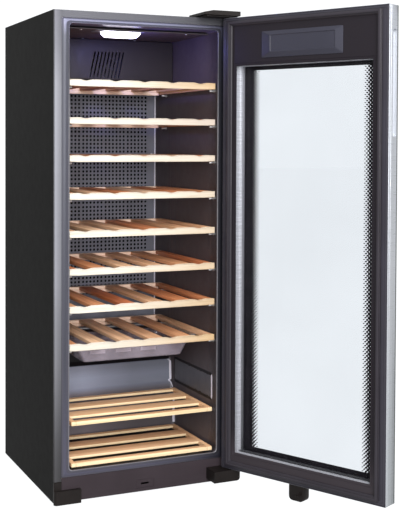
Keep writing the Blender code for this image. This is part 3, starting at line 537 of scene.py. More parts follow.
def rounded(low_u, high_u, low_v, high_v, radius, steps=4):
    """A rectangle's outline with rounded corners, in two coordinates."""
    points = []
    for u, v, quarter in (
        (high_u - radius, high_v - radius, 0), (low_u + radius, high_v - radius, 1),
        (low_u + radius, low_v + radius, 2), (high_u - radius, low_v + radius, 3),
    ):
        for i in range(steps + 1):
            turn = (quarter + i / steps) * math.pi / 2
            points.append((u + radius * math.cos(turn), v + radius * math.sin(turn)))
    return points


def circle(centre, radius, sides, start=0.0):
    turns = [start + 2 * math.pi * i / sides for i in range(sides)]
    return [(centre[0] + radius * math.cos(t), centre[1] + radius * math.sin(t)) for t in turns]


def grown(edges, by):
    """A rectangle's four edges moved outwards."""
    return (edges[0] - by, edges[1] + by, edges[2] - by, edges[3] + by)


def lifted(outline, axis, at):
    """An outline in two coordinates, as points at one place on the third axis."""
    index = "XYZ".index(axis)
    return [(*point[:index], at, *point[index:]) for point in outline]


def add_prism(bm, outline, axis, ends):
    add_loft(bm, [lifted(outline, axis, at) for at in ends])


def inset_loops(edges, radius, section):
    """Loops of one rectangle across Y, each moved in by an inset at its own depth."""
    loops = []
    for inset, y, *_ in section:
        outline = rounded(*grown(edges, -inset), max(radius - inset, 0.0004))
        loops.append(lifted(outline, "Y", y))
    return loops


def add_turned(bm, centre, axis, profile, sides=14):
    """A (radius, position) profile turned about an axis through centre."""
    loops = []
    for radius, at in profile:
        ring = lifted(circle((0.0, 0.0), radius, sides), axis, at)
        loops.append([[p + c for p, c in zip(point, centre)] for point in ring])
    add_loft(bm, loops)


def add_object(name, data):
    made = bpy.data.objects.new(name, data)
    bpy.context.scene.collection.objects.link(made)
    return made


def add_mesh(name, bm):
    """A new object with a bmesh's faces."""
    bmesh.ops.recalc_face_normals(bm, faces=bm.faces)
    mesh = bpy.data.meshes.new(name)
    bm.to_mesh(mesh)
    bm.free()
    return add_object(name, mesh)


def make_piece(name, bm, material, body, replaces=(), matrix=None, smooth=40.0):
    """A finished piece that rides on a body and may stand for CAD nodes."""
    piece = add_mesh(name, bm)
    for key in [material] if isinstance(material, str) else material:
        piece.data.materials.append(MATERIALS[key])
    piece.data.shade_smooth()
    piece.data.set_sharp_from_angle(angle=math.radians(smooth))
    if matrix is not None:
        piece.matrix_world = matrix
    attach(piece, body)
    if replaces:
        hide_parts(*replaces)
    return piece


def cut(piece, bm):
    """Take the closed shapes of a bmesh out of a piece."""
    cutter = add_mesh("cutter", bm)
    cutter.matrix_world = piece.matrix_world
    modifier = piece.modifiers.new("cut", "BOOLEAN")
    modifier.operation = "DIFFERENCE"
    modifier.solver = "EXACT"
    modifier.object = cutter
    depsgraph = bpy.context.evaluated_depsgraph_get()
    result = bpy.data.meshes.new_from_object(piece.evaluated_get(depsgraph))
    piece.modifiers.clear()
    piece.data = result
    bpy.data.objects.remove(cutter, do_unlink=True)


# ---- CAD nodes that stay ----
NODE_FINISHES = {
    "case_paint": ("side_panel_left", "side_panel_right", "top_panel", "base_plate"),
    "zinc": ("back_panel", "condenser", "tray_hanger"),
    "front_metal": ("front_frame",),
    "kick": ("kick_panel",),
    "ceiling": ("ceiling_panel",),
    "foam": ("insulation_foam",),
    "shadow_black": ("evaporator",),
    "green_board": ("control_board",),
    "black": (
        *("fan_rotor", "fan_motor", "compressor", "evaporation_pan", "power_inlet"),
        *("top_hinge_bracket", "top_hinge_cover", "bottom_hinge_bracket", "lock_barrel"),
        *("foot_cover_left", "foot_front_left", "foot_front_right", "foot_rear_left", "foot_rear_right"),
    ),
}
SOFT_EDGES = {  # node: width, segments, least angle
    "side_panel_left": (0.0006, 2, 30.0),
    "side_panel_right": (0.0006, 2, 30.0),
    "top_panel": (0.0006, 2, 30.0),
    "front_frame": (0.0007, 2, 30.0),
    "kick_panel": (0.0006, 2, 30.0),
    "ceiling_panel": (0.0012, 2, 30.0),
    "power_inlet": (0.0008, 2, 30.0),
    "foot_cover_left": (0.0015, 3, 30.0),
    "bottom_hinge_bracket": (0.0014, 3, 40.0),
    "top_hinge_cover": (0.001, 2, 25.0),
}


def cad_nodes():
    """Materials and rounded edges for the nodes that this script doesn't replace."""
    for material, names in NODE_FINISHES.items():
        for name in names:
            slots = nodes[name].data.materials
            slots.clear()
            slots.append(MATERIALS[material])
    for name, (width, segments, angle) in SOFT_EDGES.items():
        modifier = nodes[name].modifiers.new("soft_edges", "BEVEL")
        modifier.width = width
        modifier.segments = segments
        modifier.limit_method = "ANGLE"
        modifier.angle_limit = math.radians(angle)
        modifier.harden_normals = True


# ---- Cabinet ----
def keeper():
    """The plate that the lock's bar passes through, its slot eased all round."""
    low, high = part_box("keeper_plate")
    x, z = LOCK_AXIS
    ease = 0.0006
    half_w, half_h = 0.013, 0.0028
    plate = ((0.0, high.y), (0.0, low.y + ease), (ease, low.y))
    slot = ((-ease, low.y), (0.0, low.y + ease), (0.0, high.y))
    loops = inset_loops((low.x, high.x, low.z, high.z), 0.001, plate)
    loops += inset_loops((x - half_w, x + half_w, z - half_h, z + half_h), 0.002, slot)
    make_piece("keeper", loft(loops, closed=True), "kick", "cabinet", ["keeper_plate"])


def liner():
    """The moulded inner shell: flange, rounded walls, step and back in one skin."""
    half = OPENING_HALF_W
    wall = 0.003
    radius = 0.012
    step_front, step_back = 0.058, 0.1195
    lip_front, lip_back = FRONT_Y + 0.004, FRONT_Y + 0.06
    floor_path = (  # depth and height of the floor, the step's face and its top
        (0.052, OPENING_LOW_Z), (0.0585, OPENING_LOW_Z + 0.002), (0.06, OPENING_LOW_Z + 0.007),
        (0.0615, 0.208), (0.0635, 0.217), (0.0885, 0.256), (0.0908, 0.262), (0.0953, 0.331),
        (0.0968, STEP_EDGE_Z), (0.1005, STEP_EDGE_Z + 0.0025), (0.1165, STEP_EDGE_Z + 0.0095),
        (0.118, STEP_EDGE_Z + 0.0135), (0.1182, 0.408), (0.12, 0.419), (0.1262, 0.4245),
        (0.25, STEP_TOP_Z),
    )
    finishes = ["liner", "flange", "flange_groove", "rim", "step_face", "painted_shade", "lit_lip"]
    shell, flange, groove, rim, face, painted_shade, lit = range(7)
    loops = []
    bands = []

    def add(half_w, low_z, top_z, corner, y, band):
        loops.append(lifted(rounded(-half_w, half_w, low_z, top_z, corner), "Y", y))
        bands.append(band)

    back = LINER_BACK_Y + wall
    add(half - 0.02, STEP_TOP_Z + 0.02, OPENING_TOP_Z - 0.02, 0.004, back, shell)
    add(half + wall, STEP_TOP_Z - wall, OPENING_TOP_Z + wall, 0.004, back - 0.002, shell)
    for y, z in reversed(floor_path):
        outer_y = y + (wall if z > OPENING_LOW_Z + 0.001 else 0.0)
        add(half + wall, z - wall, OPENING_TOP_Z + wall, 0.006, outer_y, shell)
    thick = 0.0032
    flange_back = FRONT_Y + thick
    add(half + wall, OPENING_LOW_Z - wall, OPENING_TOP_Z + wall, 0.006, flange_back, shell)
    width = LINER_HIGH.x - half
    low_share = (OPENING_LOW_Z - LINER_LOW.z) / width
    top_share = (FLANGE_TOP_Z - OPENING_TOP_Z) / width
    front_section = (  # outwards from the opening, back from the front, and the band after it
        (width, thick, flange), (width, 0.001, flange), (width - 0.0008, 0.0002, groove),
        (width - 0.0058, 0.0009, flange), (width - 0.007, 0.0001, flange),
        (0.0088, 0.0, groove), (0.0082, 0.0013, groove), (0.0014, 0.0013, rim),
        (0.001, 0.0003, rim), (-0.0005, 0.0, rim), (-0.0015, 0.0009, rim),
        (-0.0018, 0.003, shell), (-0.0018, 0.007, shell), (0.0, 0.009, shell),
        (0.0, 0.08, shell),
    )
    for grow, depth, band in front_section:
        low_z = OPENING_LOW_Z - grow * low_share
        top_z = OPENING_TOP_Z + grow * top_share
        corner = radius if grow < width / 2 else 0.003
        add(half + grow, low_z, top_z, corner, FRONT_Y + depth, band)
    for y, z in floor_path:
        add(half, z, OPENING_TOP_Z, radius, y, shell)
    for inset, depth in ((0.002, 0.001), (0.008, 0.0)):
        top_z = OPENING_TOP_Z - inset
        add(half - inset, STEP_TOP_Z + inset, top_z, radius, LINER_BACK_Y - depth, shell)
    bm = loft(loops, bands=bands)
    for polygon in bm.faces:
        _, y, z = centre = polygon.calc_center_median()
        across = abs(centre.x) < half - 0.004
        # Above the step's edge, the ledge and its riser take painted shade, the tray's shadow.
        if across and step_front < y < step_back and OPENING_LOW_Z + 0.002 < z < STEP_TOP_Z:
            polygon.material_index = face if z < STEP_EDGE_Z else painted_shade
        # The top of the opening near the front takes a painted violet highlight.
        if z > OPENING_TOP_Z - 0.004 and lip_front < y < lip_back:
            polygon.material_index = lit
        # The floor inside the opening takes painted shade.
        if across and z < OPENING_LOW_Z + 0.0005 and y > FRONT_Y + 0.01:
            polygon.material_index = painted_shade
    make_piece("liner_shell", bm, finishes, "cabinet", ["inner_liner"], smooth=50.0)


def shelf_pegs():
    """The pegs that carry the shelves, each a short pin with a domed tip."""
    root = OPENING_HALF_W + 0.0005
    profile = (
        (0.006, root), (0.006, 0.2465), (0.0039, 0.2455), (0.0039, 0.2325), (0.0032, 0.2313),
        (0.001, 0.231),
    )
    below_top = 0.0248  # the peg's axis under a bottle shelf's top
    below_floor = 0.0043  # and under a slatted shelf
    places = []
    for top in SHELF_TOPS.values():
        places += [(y, top - below_top) for y in (-0.26, 0.14)]
    for name in ("slatted_shelf_upper", "slatted_shelf_lower"):
        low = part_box(name)[0].z
        places += [(y, low - below_floor) for y in (-0.24, -0.002)]
    bm = bmesh.new()
    for side, (y, z) in itertools.product((-1, 1), places):
        add_turned(bm, (0.0, y, z), "X", [(radius, side * at) for radius, at in profile])
    make_piece("shelf_pegs", bm, "zinc", "cabinet")


def wall_fields():
    """The pressed field low on each side wall: a frame of painted shade with a painted highlight down
    its front edge, a fine bead and a plain middle.
    """
    outer, bead, field, front = range(4)
    section = (  # inwards from the outline, off the wall, and the band after it
        (0.0, -0.0005, bead), (0.0004, 0.0012, outer), (0.0092, 0.0014, bead),
        (0.0098, 0.0021, bead), (0.011, 0.0021, bead), (0.0118, 0.001, field),
    )
    edges = (-0.256, 0.062, 0.262, 0.352)
    bm = bmesh.new()
    for side in (-1, 1):
        loops = []
        for inset, lift, _ in section:
            outline = rounded(*grown(edges, -inset), 0.014 - inset)
            loops.append(lifted(outline, "X", side * (OPENING_HALF_W - lift)))
        add_loft(bm, loops, bands=bands_of(section))
    for polygon in bm.faces:
        if len(polygon.verts) > 4:
            polygon.material_index = field
        # The frame's front edge takes the bright painted highlight.
        elif polygon.material_index == outer and polygon.calc_center_median().y < edges[0] + 0.0075:
            polygon.material_index = front
    make_piece("wall_fields", bm, ["painted_shade", "bead", "field", "seam"], "cabinet")


def step_highlight_coves():
    """A cove where the step meets each side wall, coloured bright as a painted highlight."""
    path = (  # depth, height and distance in from the wall
        (0.06, 0.118, 0.0), (0.062, 0.214, 0.0), (0.076, 0.2365, 0.0), (0.088, 0.255, 0.002),
        (0.0905, 0.2595, 0.006), (0.0912, 0.2625, 0.006), (0.091, 0.265, 0.0),
        (0.0951, 0.327, 0.0), (0.0956, 0.3315, 0.003), (0.096, 0.334, 0.008),
    )
    cove = 0.0062
    hollow = cove * 0.32
    section = ((0.0, 0.001), (0.0, -cove), (hollow, -hollow), (cove, 0.0002), (cove, 0.001))
    bm = bmesh.new()
    for side in (-1, 1):
        wall = side * (OPENING_HALF_W - 0.0002)
        loops = []
        for y, z, away in path:
            x = wall - side * away
            loops.append([(x - side * inwards, y + back, z) for inwards, back in section])
        add_loft(bm, loops)
    make_piece("step_highlight_coves", bm, "seam", "cabinet")


def duct_panel():
    """The rear air panel, punched with round holes in blocks of six by six."""
    pitch = 0.0137
    block = 6
    gap = 0.0022
    radius = 0.0047
    sides = 8
    border = 0.0015
    right = 0.2103 + pitch / 2
    top, low = 1.3, 0.548
    faces_y = (DUCT_LOW.y, DUCT_HIGH.y)

    def cell_edges(first, start, stop, last):
        """Edges from first down to last, and which cells between them hold a hole."""
        at = [first - border, start]
        holes = [False]
        while at[-1] - pitch >= stop:
            at.append(at[-1] - pitch)
            holes.append(True)
            if len(holes) % (block + 1) == 0:
                at.append(at[-1] - gap)
                holes.append(False)
        return [*at, last + border], [*holes, False]

    xs, hole_columns = cell_edges(DUCT_HIGH.x, right, -right, DUCT_LOW.x)
    zs, hole_rows = cell_edges(DUCT_HIGH.z, top, low, DUCT_LOW.z)
    bm = bmesh.new()
    corners = {}

    def corner(i, k, y):
        key = (i, k, y)
        if key not in corners:
            corners[key] = bm.verts.new((xs[i], y, zs[k]))
        return corners[key]

    for i, k in itertools.product(range(len(hole_columns)), range(len(hole_rows))):
        cell = ((i, k), (i, k + 1), (i + 1, k + 1), (i + 1, k))
        quads = [[corner(*at, y) for at in cell] for y in faces_y]
        if not (hole_columns[i] and hole_rows[k]):
            for quad in quads:
                bm.faces.new(quad)
            continue
        middle = ((xs[i] + xs[i + 1]) / 2, (zs[k] + zs[k + 1]) / 2)
        outline = circle(middle, radius, sides, math.pi / 4)
        rims = [[bm.verts.new(point) for point in lifted(outline, "Y", y)] for y in faces_y]
        for quad, rim in zip(quads, rims):
            for q in range(4):
                here, there = quad[(4 - q) % 4], quad[(3 - q) % 4]
                near, between, far = rim[2 * q], rim[2 * q + 1], rim[(2 * q + 2) % sides]
                bm.faces.new((here, near, between))
                bm.faces.new((here, between, there))
                bm.faces.new((there, between, far))
        for s in range(sides):
            n = (s + 1) % sides
            bm.faces.new((rims[0][s], rims[0][n], rims[1][n], rims[1][s]))
    last_x = len(hole_columns)
    last_z = len(hole_rows)
    outline = [(i, 0) for i in range(last_x)] + [(last_x, k) for k in range(last_z)]
    outline += [(i, last_z) for i in range(last_x, 0, -1)] + [(0, k) for k in range(last_z, 0, -1)]
    front, back = faces_y
    for here, there in zip(outline, outline[1:] + outline[:1]):
        ends = ((*here, front), (*there, front), (*there, back), (*here, back))
        bm.faces.new([corner(*end) for end in ends])
    make_piece("perforated_panel", bm, "duct", "cabinet", ["duct_panel"], smooth=30.0)


def duct_edge():
    """The rolled edge that frames the air panel, coloured bright as a painted highlight."""
    y = DUCT_LOW.y
    bm = bmesh.new()
    for side in (-1, 1):
        height = (DUCT_LOW.z + 0.001, 1.3155)
        add_side_box(bm, side, (0.244, 0.2484), (y - 0.0042, y - 0.0002), height, 0.0018, 3)
    make_piece("duct_edge", bm, "seam", "cabinet")


def panel_screws():
    """Small domed screws in the air panel and the ceiling."""
    head = ((0.0042, 0.0002), (0.0042, 0.0012), (0.003, 0.0024), (0.0008, 0.0027))
    on_duct = itertools.product((-0.233, 0.233), (0.5, 0.78, 1.06, 1.285))
    on_ceiling = ((-0.088, 0.07), (0.1, 0.07), (0.0, -0.12), (-0.18, -0.19), (0.18, -0.19))
    screws = [((x, 0.0, z), "Y", DUCT_LOW.y) for x, z in on_duct]
    screws += [((x, y, 0.0), "Z", CEILING_Z) for x, y in on_ceiling]
    bm = bmesh.new()
    for centre, axis, face in screws:
        add_turned(bm, centre, axis, [(radius, face - out) for radius, out in head])
    make_piece("panel_screws", bm, "zinc", "cabinet")


def fan_cover():
    """The box over the fan, with rounded edges and slanted slots in its face."""
    wall = 0.0025
    front, back = FAN_LOW.y, FAN_HIGH.y
    section = (
        (0.002, front), (0.0006, front + 0.0006), (0.0, front + 0.002), (0.0, back),
        (wall, back), (wall, front + 0.005), (0.005, front + wall),
    )
    bm = loft(inset_loops((FAN_LOW.x, FAN_HIGH.x, FAN_LOW.z, FAN_HIGH.z), 0.006, section))
    piece = make_piece("fan_cover_shell", bm, "fan_cover", "cabinet", ["fan_cover"])
    cutters = bmesh.new()
    first_x = -0.061
    pitch = 0.0128
    slot = 0.0055
    lean = 0.018  # how far a slot's top stands right of its foot
    for i in range(9):
        outline = []
        for end, z in ((0, 1.3255), (1, 1.4095)):
            centre = first_x + pitch * i + slot / 2 + lean * end
            for step in range(7):
                turn = math.pi * (end + 1 + step / 6)
                outline.append((centre + slot / 2 * math.cos(turn), z + slot / 2 * math.sin(turn)))
        add_prism(cutters, outline, "Y", (front - 0.01, front + 0.01))
    cut(piece, cutters)


def lamp():
    """The lamp: a tapered diffuser in a shallow housing."""
    low, high = LENS_LOW + Vector((0.018, 0.004, 0.0055)), LENS_HIGH - Vector((0.002, 0.004, 0.0))
    lens = (
        (0.0, high.z), (0.0005, high.z - 0.006), (0.008, low.z + 0.003),
        (0.0105, low.z + 0.001), (0.014, low.z),
    )
    loops = []
    for inset, z in lens:
        edges = (low.x + inset, high.x - inset, low.y + inset * 0.5, high.y - inset * 0.5)
        loops.append(lifted(rounded(*edges, 0.006), "Z", z))
    make_piece("lamp_diffuser", loft(loops), "lamp", "cabinet", ["lamp_lens"])
    low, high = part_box("lamp_housing")
    edges = (low.x, high.x, low.y, high.y)
    loops = []
    for inset, z in ((0.0, high.z), (0.0, low.z + 0.0008), (0.001, low.z)):
        loops.append(lifted(rounded(*grown(edges, -inset), 0.008), "Z", z))
    make_piece("lamp_housing_tray", loft(loops), "duct", "cabinet", ["lamp_housing"])


# ---- Shelves ----
SCALLOP_HALF_W = 0.0235


def shelf_front(i):
    """The pale front board: scalloped top, eased edges."""
    low, high = SHELF_BOXES[i]
    depth = 0.0038
    steps = 10
    tops = [(low.x, high.z)]
    for scallop in range(-2, 3):
        for step in range(steps + 1):
            share = 2 * step / steps - 1
            dip = depth * math.cos(share * math.pi / 2) ** 2
            tops.append((scallop * SCALLOP_PITCH + SCALLOP_HALF_W * share, high.z - dip))
    tops.append((high.x, high.z))
    ease = 0.0016
    front = [(0.0, low.y + ease), (ease * 0.3, low.y + ease * 0.3), (ease, low.y)]
    back = [(inset, low.y + high.y - y) for inset, y in reversed(front)]
    section = front + back
    loops = []
    for x, top in tops:
        ends = min(x - low.x, high.x - x)
        drop = ease * 0.6 if ends < 1e-6 else 0.0
        loop = [(x, y, top - inset - drop) for inset, y in section]
        loop += [(x, y, low.z + inset + drop) for inset, y in reversed(section)]
        loops.append(loop)
    name = f"shelf_{i}_front"
    bm = loft(loops)
    make_piece(f"front_board_{i}", bm, "pale_wood", f"shelf_{i}", [name], smooth=35.0)


def shelf_frame(i):
    """Slats with eased edges over a front rail and a rear board, between side rails."""
    name = f"shelf_{i}_frame"
    low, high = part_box(name)
    rear = high.y - 0.017
    under = high.z - 0.011
    rail_in = 0.2265
    rail_height = 0.0195
    gap = 0.0002
    ease = 0.0016
    depth = (low.y, rear - gap)
    bm = bmesh.new()
    for scallop in range(-2, 2):
        left = scallop * SCALLOP_PITCH + SCALLOP_HALF_W
        right = (scallop + 1) * SCALLOP_PITCH - SCALLOP_HALF_W
        add_box(bm, (left, low.y, under), (right, rear - gap, high.z), ease)
    for side in (-1, 1):
        last = (2 * SCALLOP_PITCH + SCALLOP_HALF_W, rail_in - 0.0003)
        add_side_box(bm, side, last, depth, (under, high.z), ease)
        add_side_box(bm, side, (rail_in, high.x), depth, (high.z - rail_height, high.z), ease)
    body = f"shelf_{i}"
    make_piece(f"slats_{i}", bm, "slats", body, [name], smooth=35.0)
    bm = bmesh.new()
    reach = rail_in - 0.0005
    add_box(bm, (-reach, low.y, low.z + 0.003), (reach, low.y + 0.013, under - gap), 0.001)
    reach = rail_in - 0.001
    add_box(bm, (-reach, rear, low.z), (reach, high.y, under - gap), 0.001)
    add_box(bm, (-high.x, rear, under), (high.x, high.y, high.z - gap), 0.0012)
    make_piece(f"cross_boards_{i}", bm, "rear_wood", body, smooth=35.0)


def floor_shelf(name):
    """Four boards butted between two side rails, all with eased edges."""
    low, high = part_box(name)
    boards = ((-0.278, -0.256), (-0.209, -0.15), (-0.1055, -0.048), (0.005, 0.028))
    rail = 0.015
    gap = 0.0003
    ease = 0.0014
    bm = bmesh.new()
    for front, back in boards:
        under = low.z if front == boards[0][0] else low.z + 0.0045
        at_low = (low.x + rail + gap, front, under)
        add_box(bm, at_low, (high.x - rail - gap, back, high.z), ease)
    for side in (-1, 1):
        add_side_box(bm, side, (high.x, high.x - rail), (low.y, high.y), (low.z, high.z), ease)
    bmesh.ops.recalc_face_normals(bm, faces=bm.faces)
    # Faces turned to the front take a paler copy of the wood, a painted highlight.
    for face in bm.faces:
        face.material_index = int(face.normal.y < -0.6)
    body = name.replace("slatted_shelf", "slatted")
    finishes = ["floor_wood", "floor_wood_front_highlight"]
    make_piece(f"{name}_boards", bm, finishes, body, [name], smooth=35.0)


def tray():
    """The clear hanging tray: thin sloped walls, a rim all round and two lips."""
    low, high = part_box("humidity_tray")
    hang = 0.006  # how far it hangs below the CAD node
    low.z -= hang
    wall = 0.0022
    half = 0.17
    spread = 0.027
    lip = 0.0098
    reflection_pad_half = 0.026
    levels = (  # out from the floor's edge, in from the ends, corner radius, height
        (-0.006, 0.005, 0.01, low.z), (-0.002, 0.0018, 0.012, low.z + 0.001),
        (0.0, 0.0008, 0.014, low.z + 0.004), (spread, 0.001, 0.014, high.z - 0.0025),
        (spread + lip, 0.0005, 0.006, high.z - 0.0025), (spread + lip, 0.0005, 0.006, high.z),
        (spread - wall, 0.001 + wall, 0.012, high.z),
        (0.002 - wall, 0.001 + wall, 0.012, low.z + 0.006),
        (-0.004 - wall, 0.003 + wall, 0.01, low.z + 0.003),
        (-0.01, 0.009, 0.008, low.z + wall),
    )
    loops = []
    for out, ends, radius, z in levels:
        outline = rounded(-half - out, half + out, low.y + ends, high.y - ends, radius)
        loops.append(lifted(outline, "Z", z))
    bm = loft(loops)
    plain = len(bm.faces)
    # Three raised pads on the front take the paler copy, painted reflections.
    for middle in (-0.122, -0.036, 0.05):
        at_low = (middle - reflection_pad_half, low.y + 0.0004, low.z + 0.024)
        add_box(bm, at_low, (middle + reflection_pad_half, low.y + 0.0022, low.z + 0.036), 0.0005)
    bm.faces.ensure_lookup_table()
    for face in bm.faces[plain:]:
        face.material_index = 1
    make_piece("tray_shell", bm, ["tray_plastic", "tray_painted_reflection"], "tray", ["humidity_tray"])


# ---- Door ----
# Rectangles across Y: low and high X, low and high Z
LEAF = (-0.3015, 0.3015, 0.06, 1.498)
VIEW = (-0.2475, 0.2475, 0.117, 1.344)
INNER_FACE_Y = -0.302


def door_piece(name, bm, material, node, smooth=40.0):
    return make_piece(name, bm, material, "door", [node], DOOR, smooth)


def door_loft(name, parts, material, node, closed=True, smooth=40.0):
    """A door piece lofted through rectangles across Y.

    A part is a rectangle, its corner radius and its section, whose rows are in
    from the edge, depth, and the band after it.
    """
    loops = []
    bands = []
    for edges, radius, section in parts:
        loops += inset_loops(edges, radius, section)
        bands += bands_of(section)
    return door_piece(name, loft(loops, closed, bands), material, node, smooth)


def door_metal():
    """The aluminium edge frame: a face, a brighter rear strip, a dark lip, grip and pin holes."""
    face, strip, lip = range(1, 4)  # band 0, the first material, goes to what the grip cuts bare
    section = (
        (0.0007, -0.347, face), (0.0002, -0.3464, face), (0.0002, -0.3138, face),
        (0.0008, -0.3134, strip), (0.0, -0.3128, strip), (0.0, -0.303, strip),
        (0.0009, -0.302, lip), (0.0034, -0.302, lip), (0.0034, -0.3127, lip),
        (0.0139, -0.3131, lip), (0.0139, -0.347, lip),
    )
    finishes = ["grip_metal", "aluminium", "edge_strip", "door_rim"]
    parts = [(LEAF, 0.003, section)]
    piece = door_loft("edge_frame", parts, finishes, "door_frame")
    cutters = bmesh.new()
    grip = rounded(-0.3445, -0.3225, 1.121, 1.429, 0.008, 5)
    add_prism(cutters, grip, "X", (LEAF[0] - 0.01, LEAF[0] + 0.0095))
    pin_hole = circle((HINGE.x, HINGE.y), 0.0053, 24)
    for ends in ((0.05, 0.08), (1.48, 1.51)):
        add_prism(cutters, pin_hole, "Z", ends)
    cut(piece, cutters)


def door_glass():
    sheet, edge = range(2)
    front = (
        (0.0015, -0.3522, edge), (0.0, -0.3514, edge), (0.0, -0.3483, edge),
        (0.0008, -0.3475, edge),
    )
    parts = [(LEAF, 0.003, front)]
    door_loft("front_glass", parts, ["outer_glass", "pane_edge"], "outer_pane", False)
    rear = (
        (0.0008, -0.316, sheet), (0.0, -0.3152, sheet), (0.0, -0.3128, sheet),
        (0.0008, -0.312, sheet),
    )
    parts = [((-0.262, 0.262, 0.1025, 1.3585), 0.003, rear)]
    door_loft("rear_glass", parts, "inner_glass", "inner_pane", False)


def door_moulding():
    """The black inner frame: a stepped outer edge, a gasket channel and a lipped window."""
    flat, rim = range(2)
    leaf_section = (
        (0.0, -0.3117, rim), (0.0, -0.3032, rim), (0.001, -0.3022, rim),
        (0.006, INNER_FACE_Y, rim), (0.0066, -0.3033, rim), (0.0086, -0.3033, rim),
        (0.0092, INNER_FACE_Y, rim), (0.018, INNER_FACE_Y, flat),
    )
    window_section = (
        (0.0, INNER_FACE_Y, flat), (0.0006, -0.303, flat), (0.0022, -0.303, flat),
        (0.0028, INNER_FACE_Y, flat), (0.0075, INNER_FACE_Y, flat), (0.0087, -0.3026, flat),
        (0.009, -0.3036, flat), (0.008, -0.3044, flat), (-0.005, -0.306, flat),
        (-0.006, -0.3117, flat),
    )
    parts = [(grown(LEAF, -0.0038), 0.004, leaf_section), (grown(VIEW, 0.009), 0.006, window_section)]
    finishes = ["door_black", "door_rim"]
    door_loft("inner_moulding", parts, finishes, "door_inner_frame")


def gasket():
    """The door seal: a magnetic strip on a folded bellows."""
    # The folds take a lighter copy of the rubber, a painted highlight.
    plain, fold_highlight = range(2)
    section = (
        (0.0, -0.3017, plain), (0.0, -0.2975, fold_highlight), (0.002, -0.2965, fold_highlight),
        (0.0006, -0.2945, plain), (0.0006, -0.2918, plain), (0.0018, -0.2905, fold_highlight),
        (0.0095, -0.2905, plain), (0.0108, -0.2918, plain), (0.0102, -0.2945, fold_highlight),
        (0.0135, -0.2958, fold_highlight), (0.0118, -0.298, fold_highlight), (0.015, -0.2996, plain),
        (0.016, -0.3017, plain),
    )
    parts = [((-0.2795, 0.2795, 0.0735, 1.4865), 0.004, section)]
    door_loft("seal", parts, ["rubber", "rubber_fold_highlight"], "door_gasket", smooth=50.0)


def spacer():
    """The spacer bar between the panes, with a rolled groove along its face."""
    outer = 0.0115
    groove = outer - 0.0012
    bright, sealed, body = range(3)
    section = (
        (0.0, -0.3472, sealed), (0.0, -0.3165, bright), (outer, -0.3165, bright),
        (outer, -0.3218, body), (groove, -0.3226, sealed), (groove, -0.3242, body),
        (outer, -0.325, body), (outer, -0.3342, sealed), (outer - 0.001, -0.335, sealed),
        (outer - 0.001, -0.339, sealed), (outer, -0.3398, sealed), (outer, -0.3472, sealed),
    )
    finishes = ["spacer", "spacer_seal", "spacer_body"]
    parts = [(grown(VIEW, outer), 0.014, section)]
    door_loft("spacer_bar", parts, finishes, "pane_spacer")


def control_cover():
    """The cover over the controls: a plate with a recessed, framed field."""
    y = -0.2997
    low_y = y + 0.0006
    plate = ((0.0, -0.3017), (0.0, y - 0.0005), (0.0008, y))
    field = ((-0.003, y), (-0.0022, low_y), (-0.0008, low_y), (0.0, y), (0.001, -0.3009))
    loops = inset_loops((-0.1475, 0.1475, 1.366, 1.447), 0.003, plate)
    loops += inset_loops((-0.1195, 0.1155, 1.384, 1.434), 0.003, field)
    door_piece("control_plate", loft(loops), "door_panel", "control_cover")


def lock_case():
    """The lock's case under the door, well rounded below, with a bore for the barrel."""
    low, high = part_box("lock_body")
    closed = DOOR.inverted()
    corners = [closed @ Vector(point) for point in itertools.product(*zip(low, high))]
    middle = sum(point.x for point in corners) / len(corners)
    half = 0.027
    radius = 0.0135
    top = LEAF[2] - 0.0004
    section = (
        (0.0035, -0.341), (0.0012, -0.3402), (0.0, -0.338), (0.0, -0.3095), (0.0012, -0.3073),
        (0.0035, -0.3065),
    )
    loops = []
    for inset, y in section:
        outline = [(middle + half - inset, top), (middle - half + inset, top)]
        for side, quarter in ((-1, 2), (1, 3)):
            for i in range(7):
                turn = (quarter + i / 6) * math.pi / 2
                x = middle + side * (half - radius) + (radius - inset) * math.cos(turn)
                outline.append((x, low.z + radius + (radius - inset) * math.sin(turn)))
        loops.append(lifted(outline, "Y", y))
    piece = door_piece("lock_case", loft(loops), "black", "lock_body")
    cutters = bmesh.new()
    add_prism(cutters, circle(LOCK_AXIS, 0.0068, 24), "Y", (-0.36, -0.3))
    cut(piece, cutters)


# ---- Light, floor and camera ----
def area_light(name, place, target, size, power, colour=WHITE):
    data = bpy.data.lights.new(name, "AREA")
    data.shape = "RECTANGLE"
    data.size, data.size_y = size
    data.energy = power
    data.color = colour
    light = add_object(name, data)
    light.location = place
    light.rotation_euler = (Vector(target) - Vector(place)).to_track_quat("-Z", "Y").to_euler()


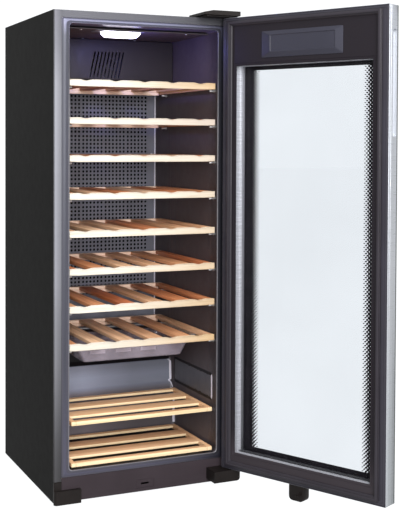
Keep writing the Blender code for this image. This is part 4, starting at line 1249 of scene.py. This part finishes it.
def studio():
    """A pale floor, a white surround that lights softly, and broad soft lamps."""
    material, tree, shader = start_material("floor")
    pattern = noise(tree, object_coordinates(tree), 0.6)
    seen = add_node(tree, "ShaderNodeLightPath").outputs["Is Camera Ray"]
    finish = {
        "Base Color": tones(tree, pattern, scaled(WHITE, 0.115), scaled(WHITE, 0.125)),
        "Roughness": 0.9,
        "Specular IOR Level": 0.1,
        "Emission Color": SKY,
        "Emission Strength": mapped(tree, seen, 0.0, 1.0, 0.5, 0.99),
    }
    feed(shader, finish)
    bm = bmesh.new()
    bmesh.ops.create_grid(bm, x_segments=1, y_segments=1, size=40.0)
    floor = add_mesh("floor", bm)
    floor.data.materials.append(material)
    world = bpy.data.worlds.new("studio")
    world.use_nodes = True
    tree = world.node_tree
    path = add_node(tree, "ShaderNodeLightPath").outputs
    seen = mapped(tree, path["Is Camera Ray"], 0.0, 1.0, 0.0, 0.52)
    mirrored = mapped(tree, path["Is Glossy Ray"], 0.0, 1.0, 0.6, 0.75)
    feed(tree.nodes["Background"], {"Strength": maths(tree, "ADD", seen, mirrored), "Color": SKY})
    bpy.context.scene.world = world
    inside = (0.05, 0.0, 0.75)
    area_light("front_softbox", (-1.0, -4.6, 1.9), inside, (2.6, 2.6), 230.0, (1.0, 0.99, 0.98))
    area_light("high_softbox", (-0.3, -3.2, 3.3), inside, (2.4, 1.6), 110.0)
    area_light("right_softbox", (3.2, -3.2, 2.4), (0.3, -0.4, 0.8), (1.6, 2.4), 60.0)


def lamp_glow():
    """The violet light that the lamp throws on the upper walls."""
    middle = (LENS_LOW + LENS_HIGH) / 2
    place = (middle.x + 0.02, middle.y, LENS_LOW.z - 0.004)
    area_light("lamp_glow", place, (0.2, 0.02, 1.3), (0.1, 0.03), 0.75, (0.2, 0.2, 1.0))


def camera():
    place = (-1.2334, -3.3955, 1.0982)
    yaw, pitch, roll = 0.43041, -0.02393, 0.00417
    data = bpy.data.cameras.new("camera")
    data.lens = 75.0
    data.sensor_width = 36.0
    data.shift_y = -0.17
    made = add_object("camera", data)
    turn = Matrix.Rotation(-yaw, 4, "Z")
    tilt = Matrix.Rotation(math.pi / 2 + pitch, 4, "X")
    made.matrix_world = Matrix.Translation(place) @ turn @ tilt @ Matrix.Rotation(roll, 4, "Z")
    bpy.context.scene.camera = made


cad_nodes()
keeper()
liner()
shelf_pegs()
wall_fields()
step_highlight_coves()
duct_panel()
duct_edge()
panel_screws()
fan_cover()
lamp()
for shelf in SHELVES:
    shelf_front(shelf)
    shelf_frame(shelf)
floor_shelf("slatted_shelf_upper")
floor_shelf("slatted_shelf_lower")
tray()
door_metal()
door_glass()
door_moulding()
gasket()
spacer()
control_cover()
lock_case()
studio()
lamp_glow()
camera()
bpy.context.scene.view_settings.view_transform = "Standard"
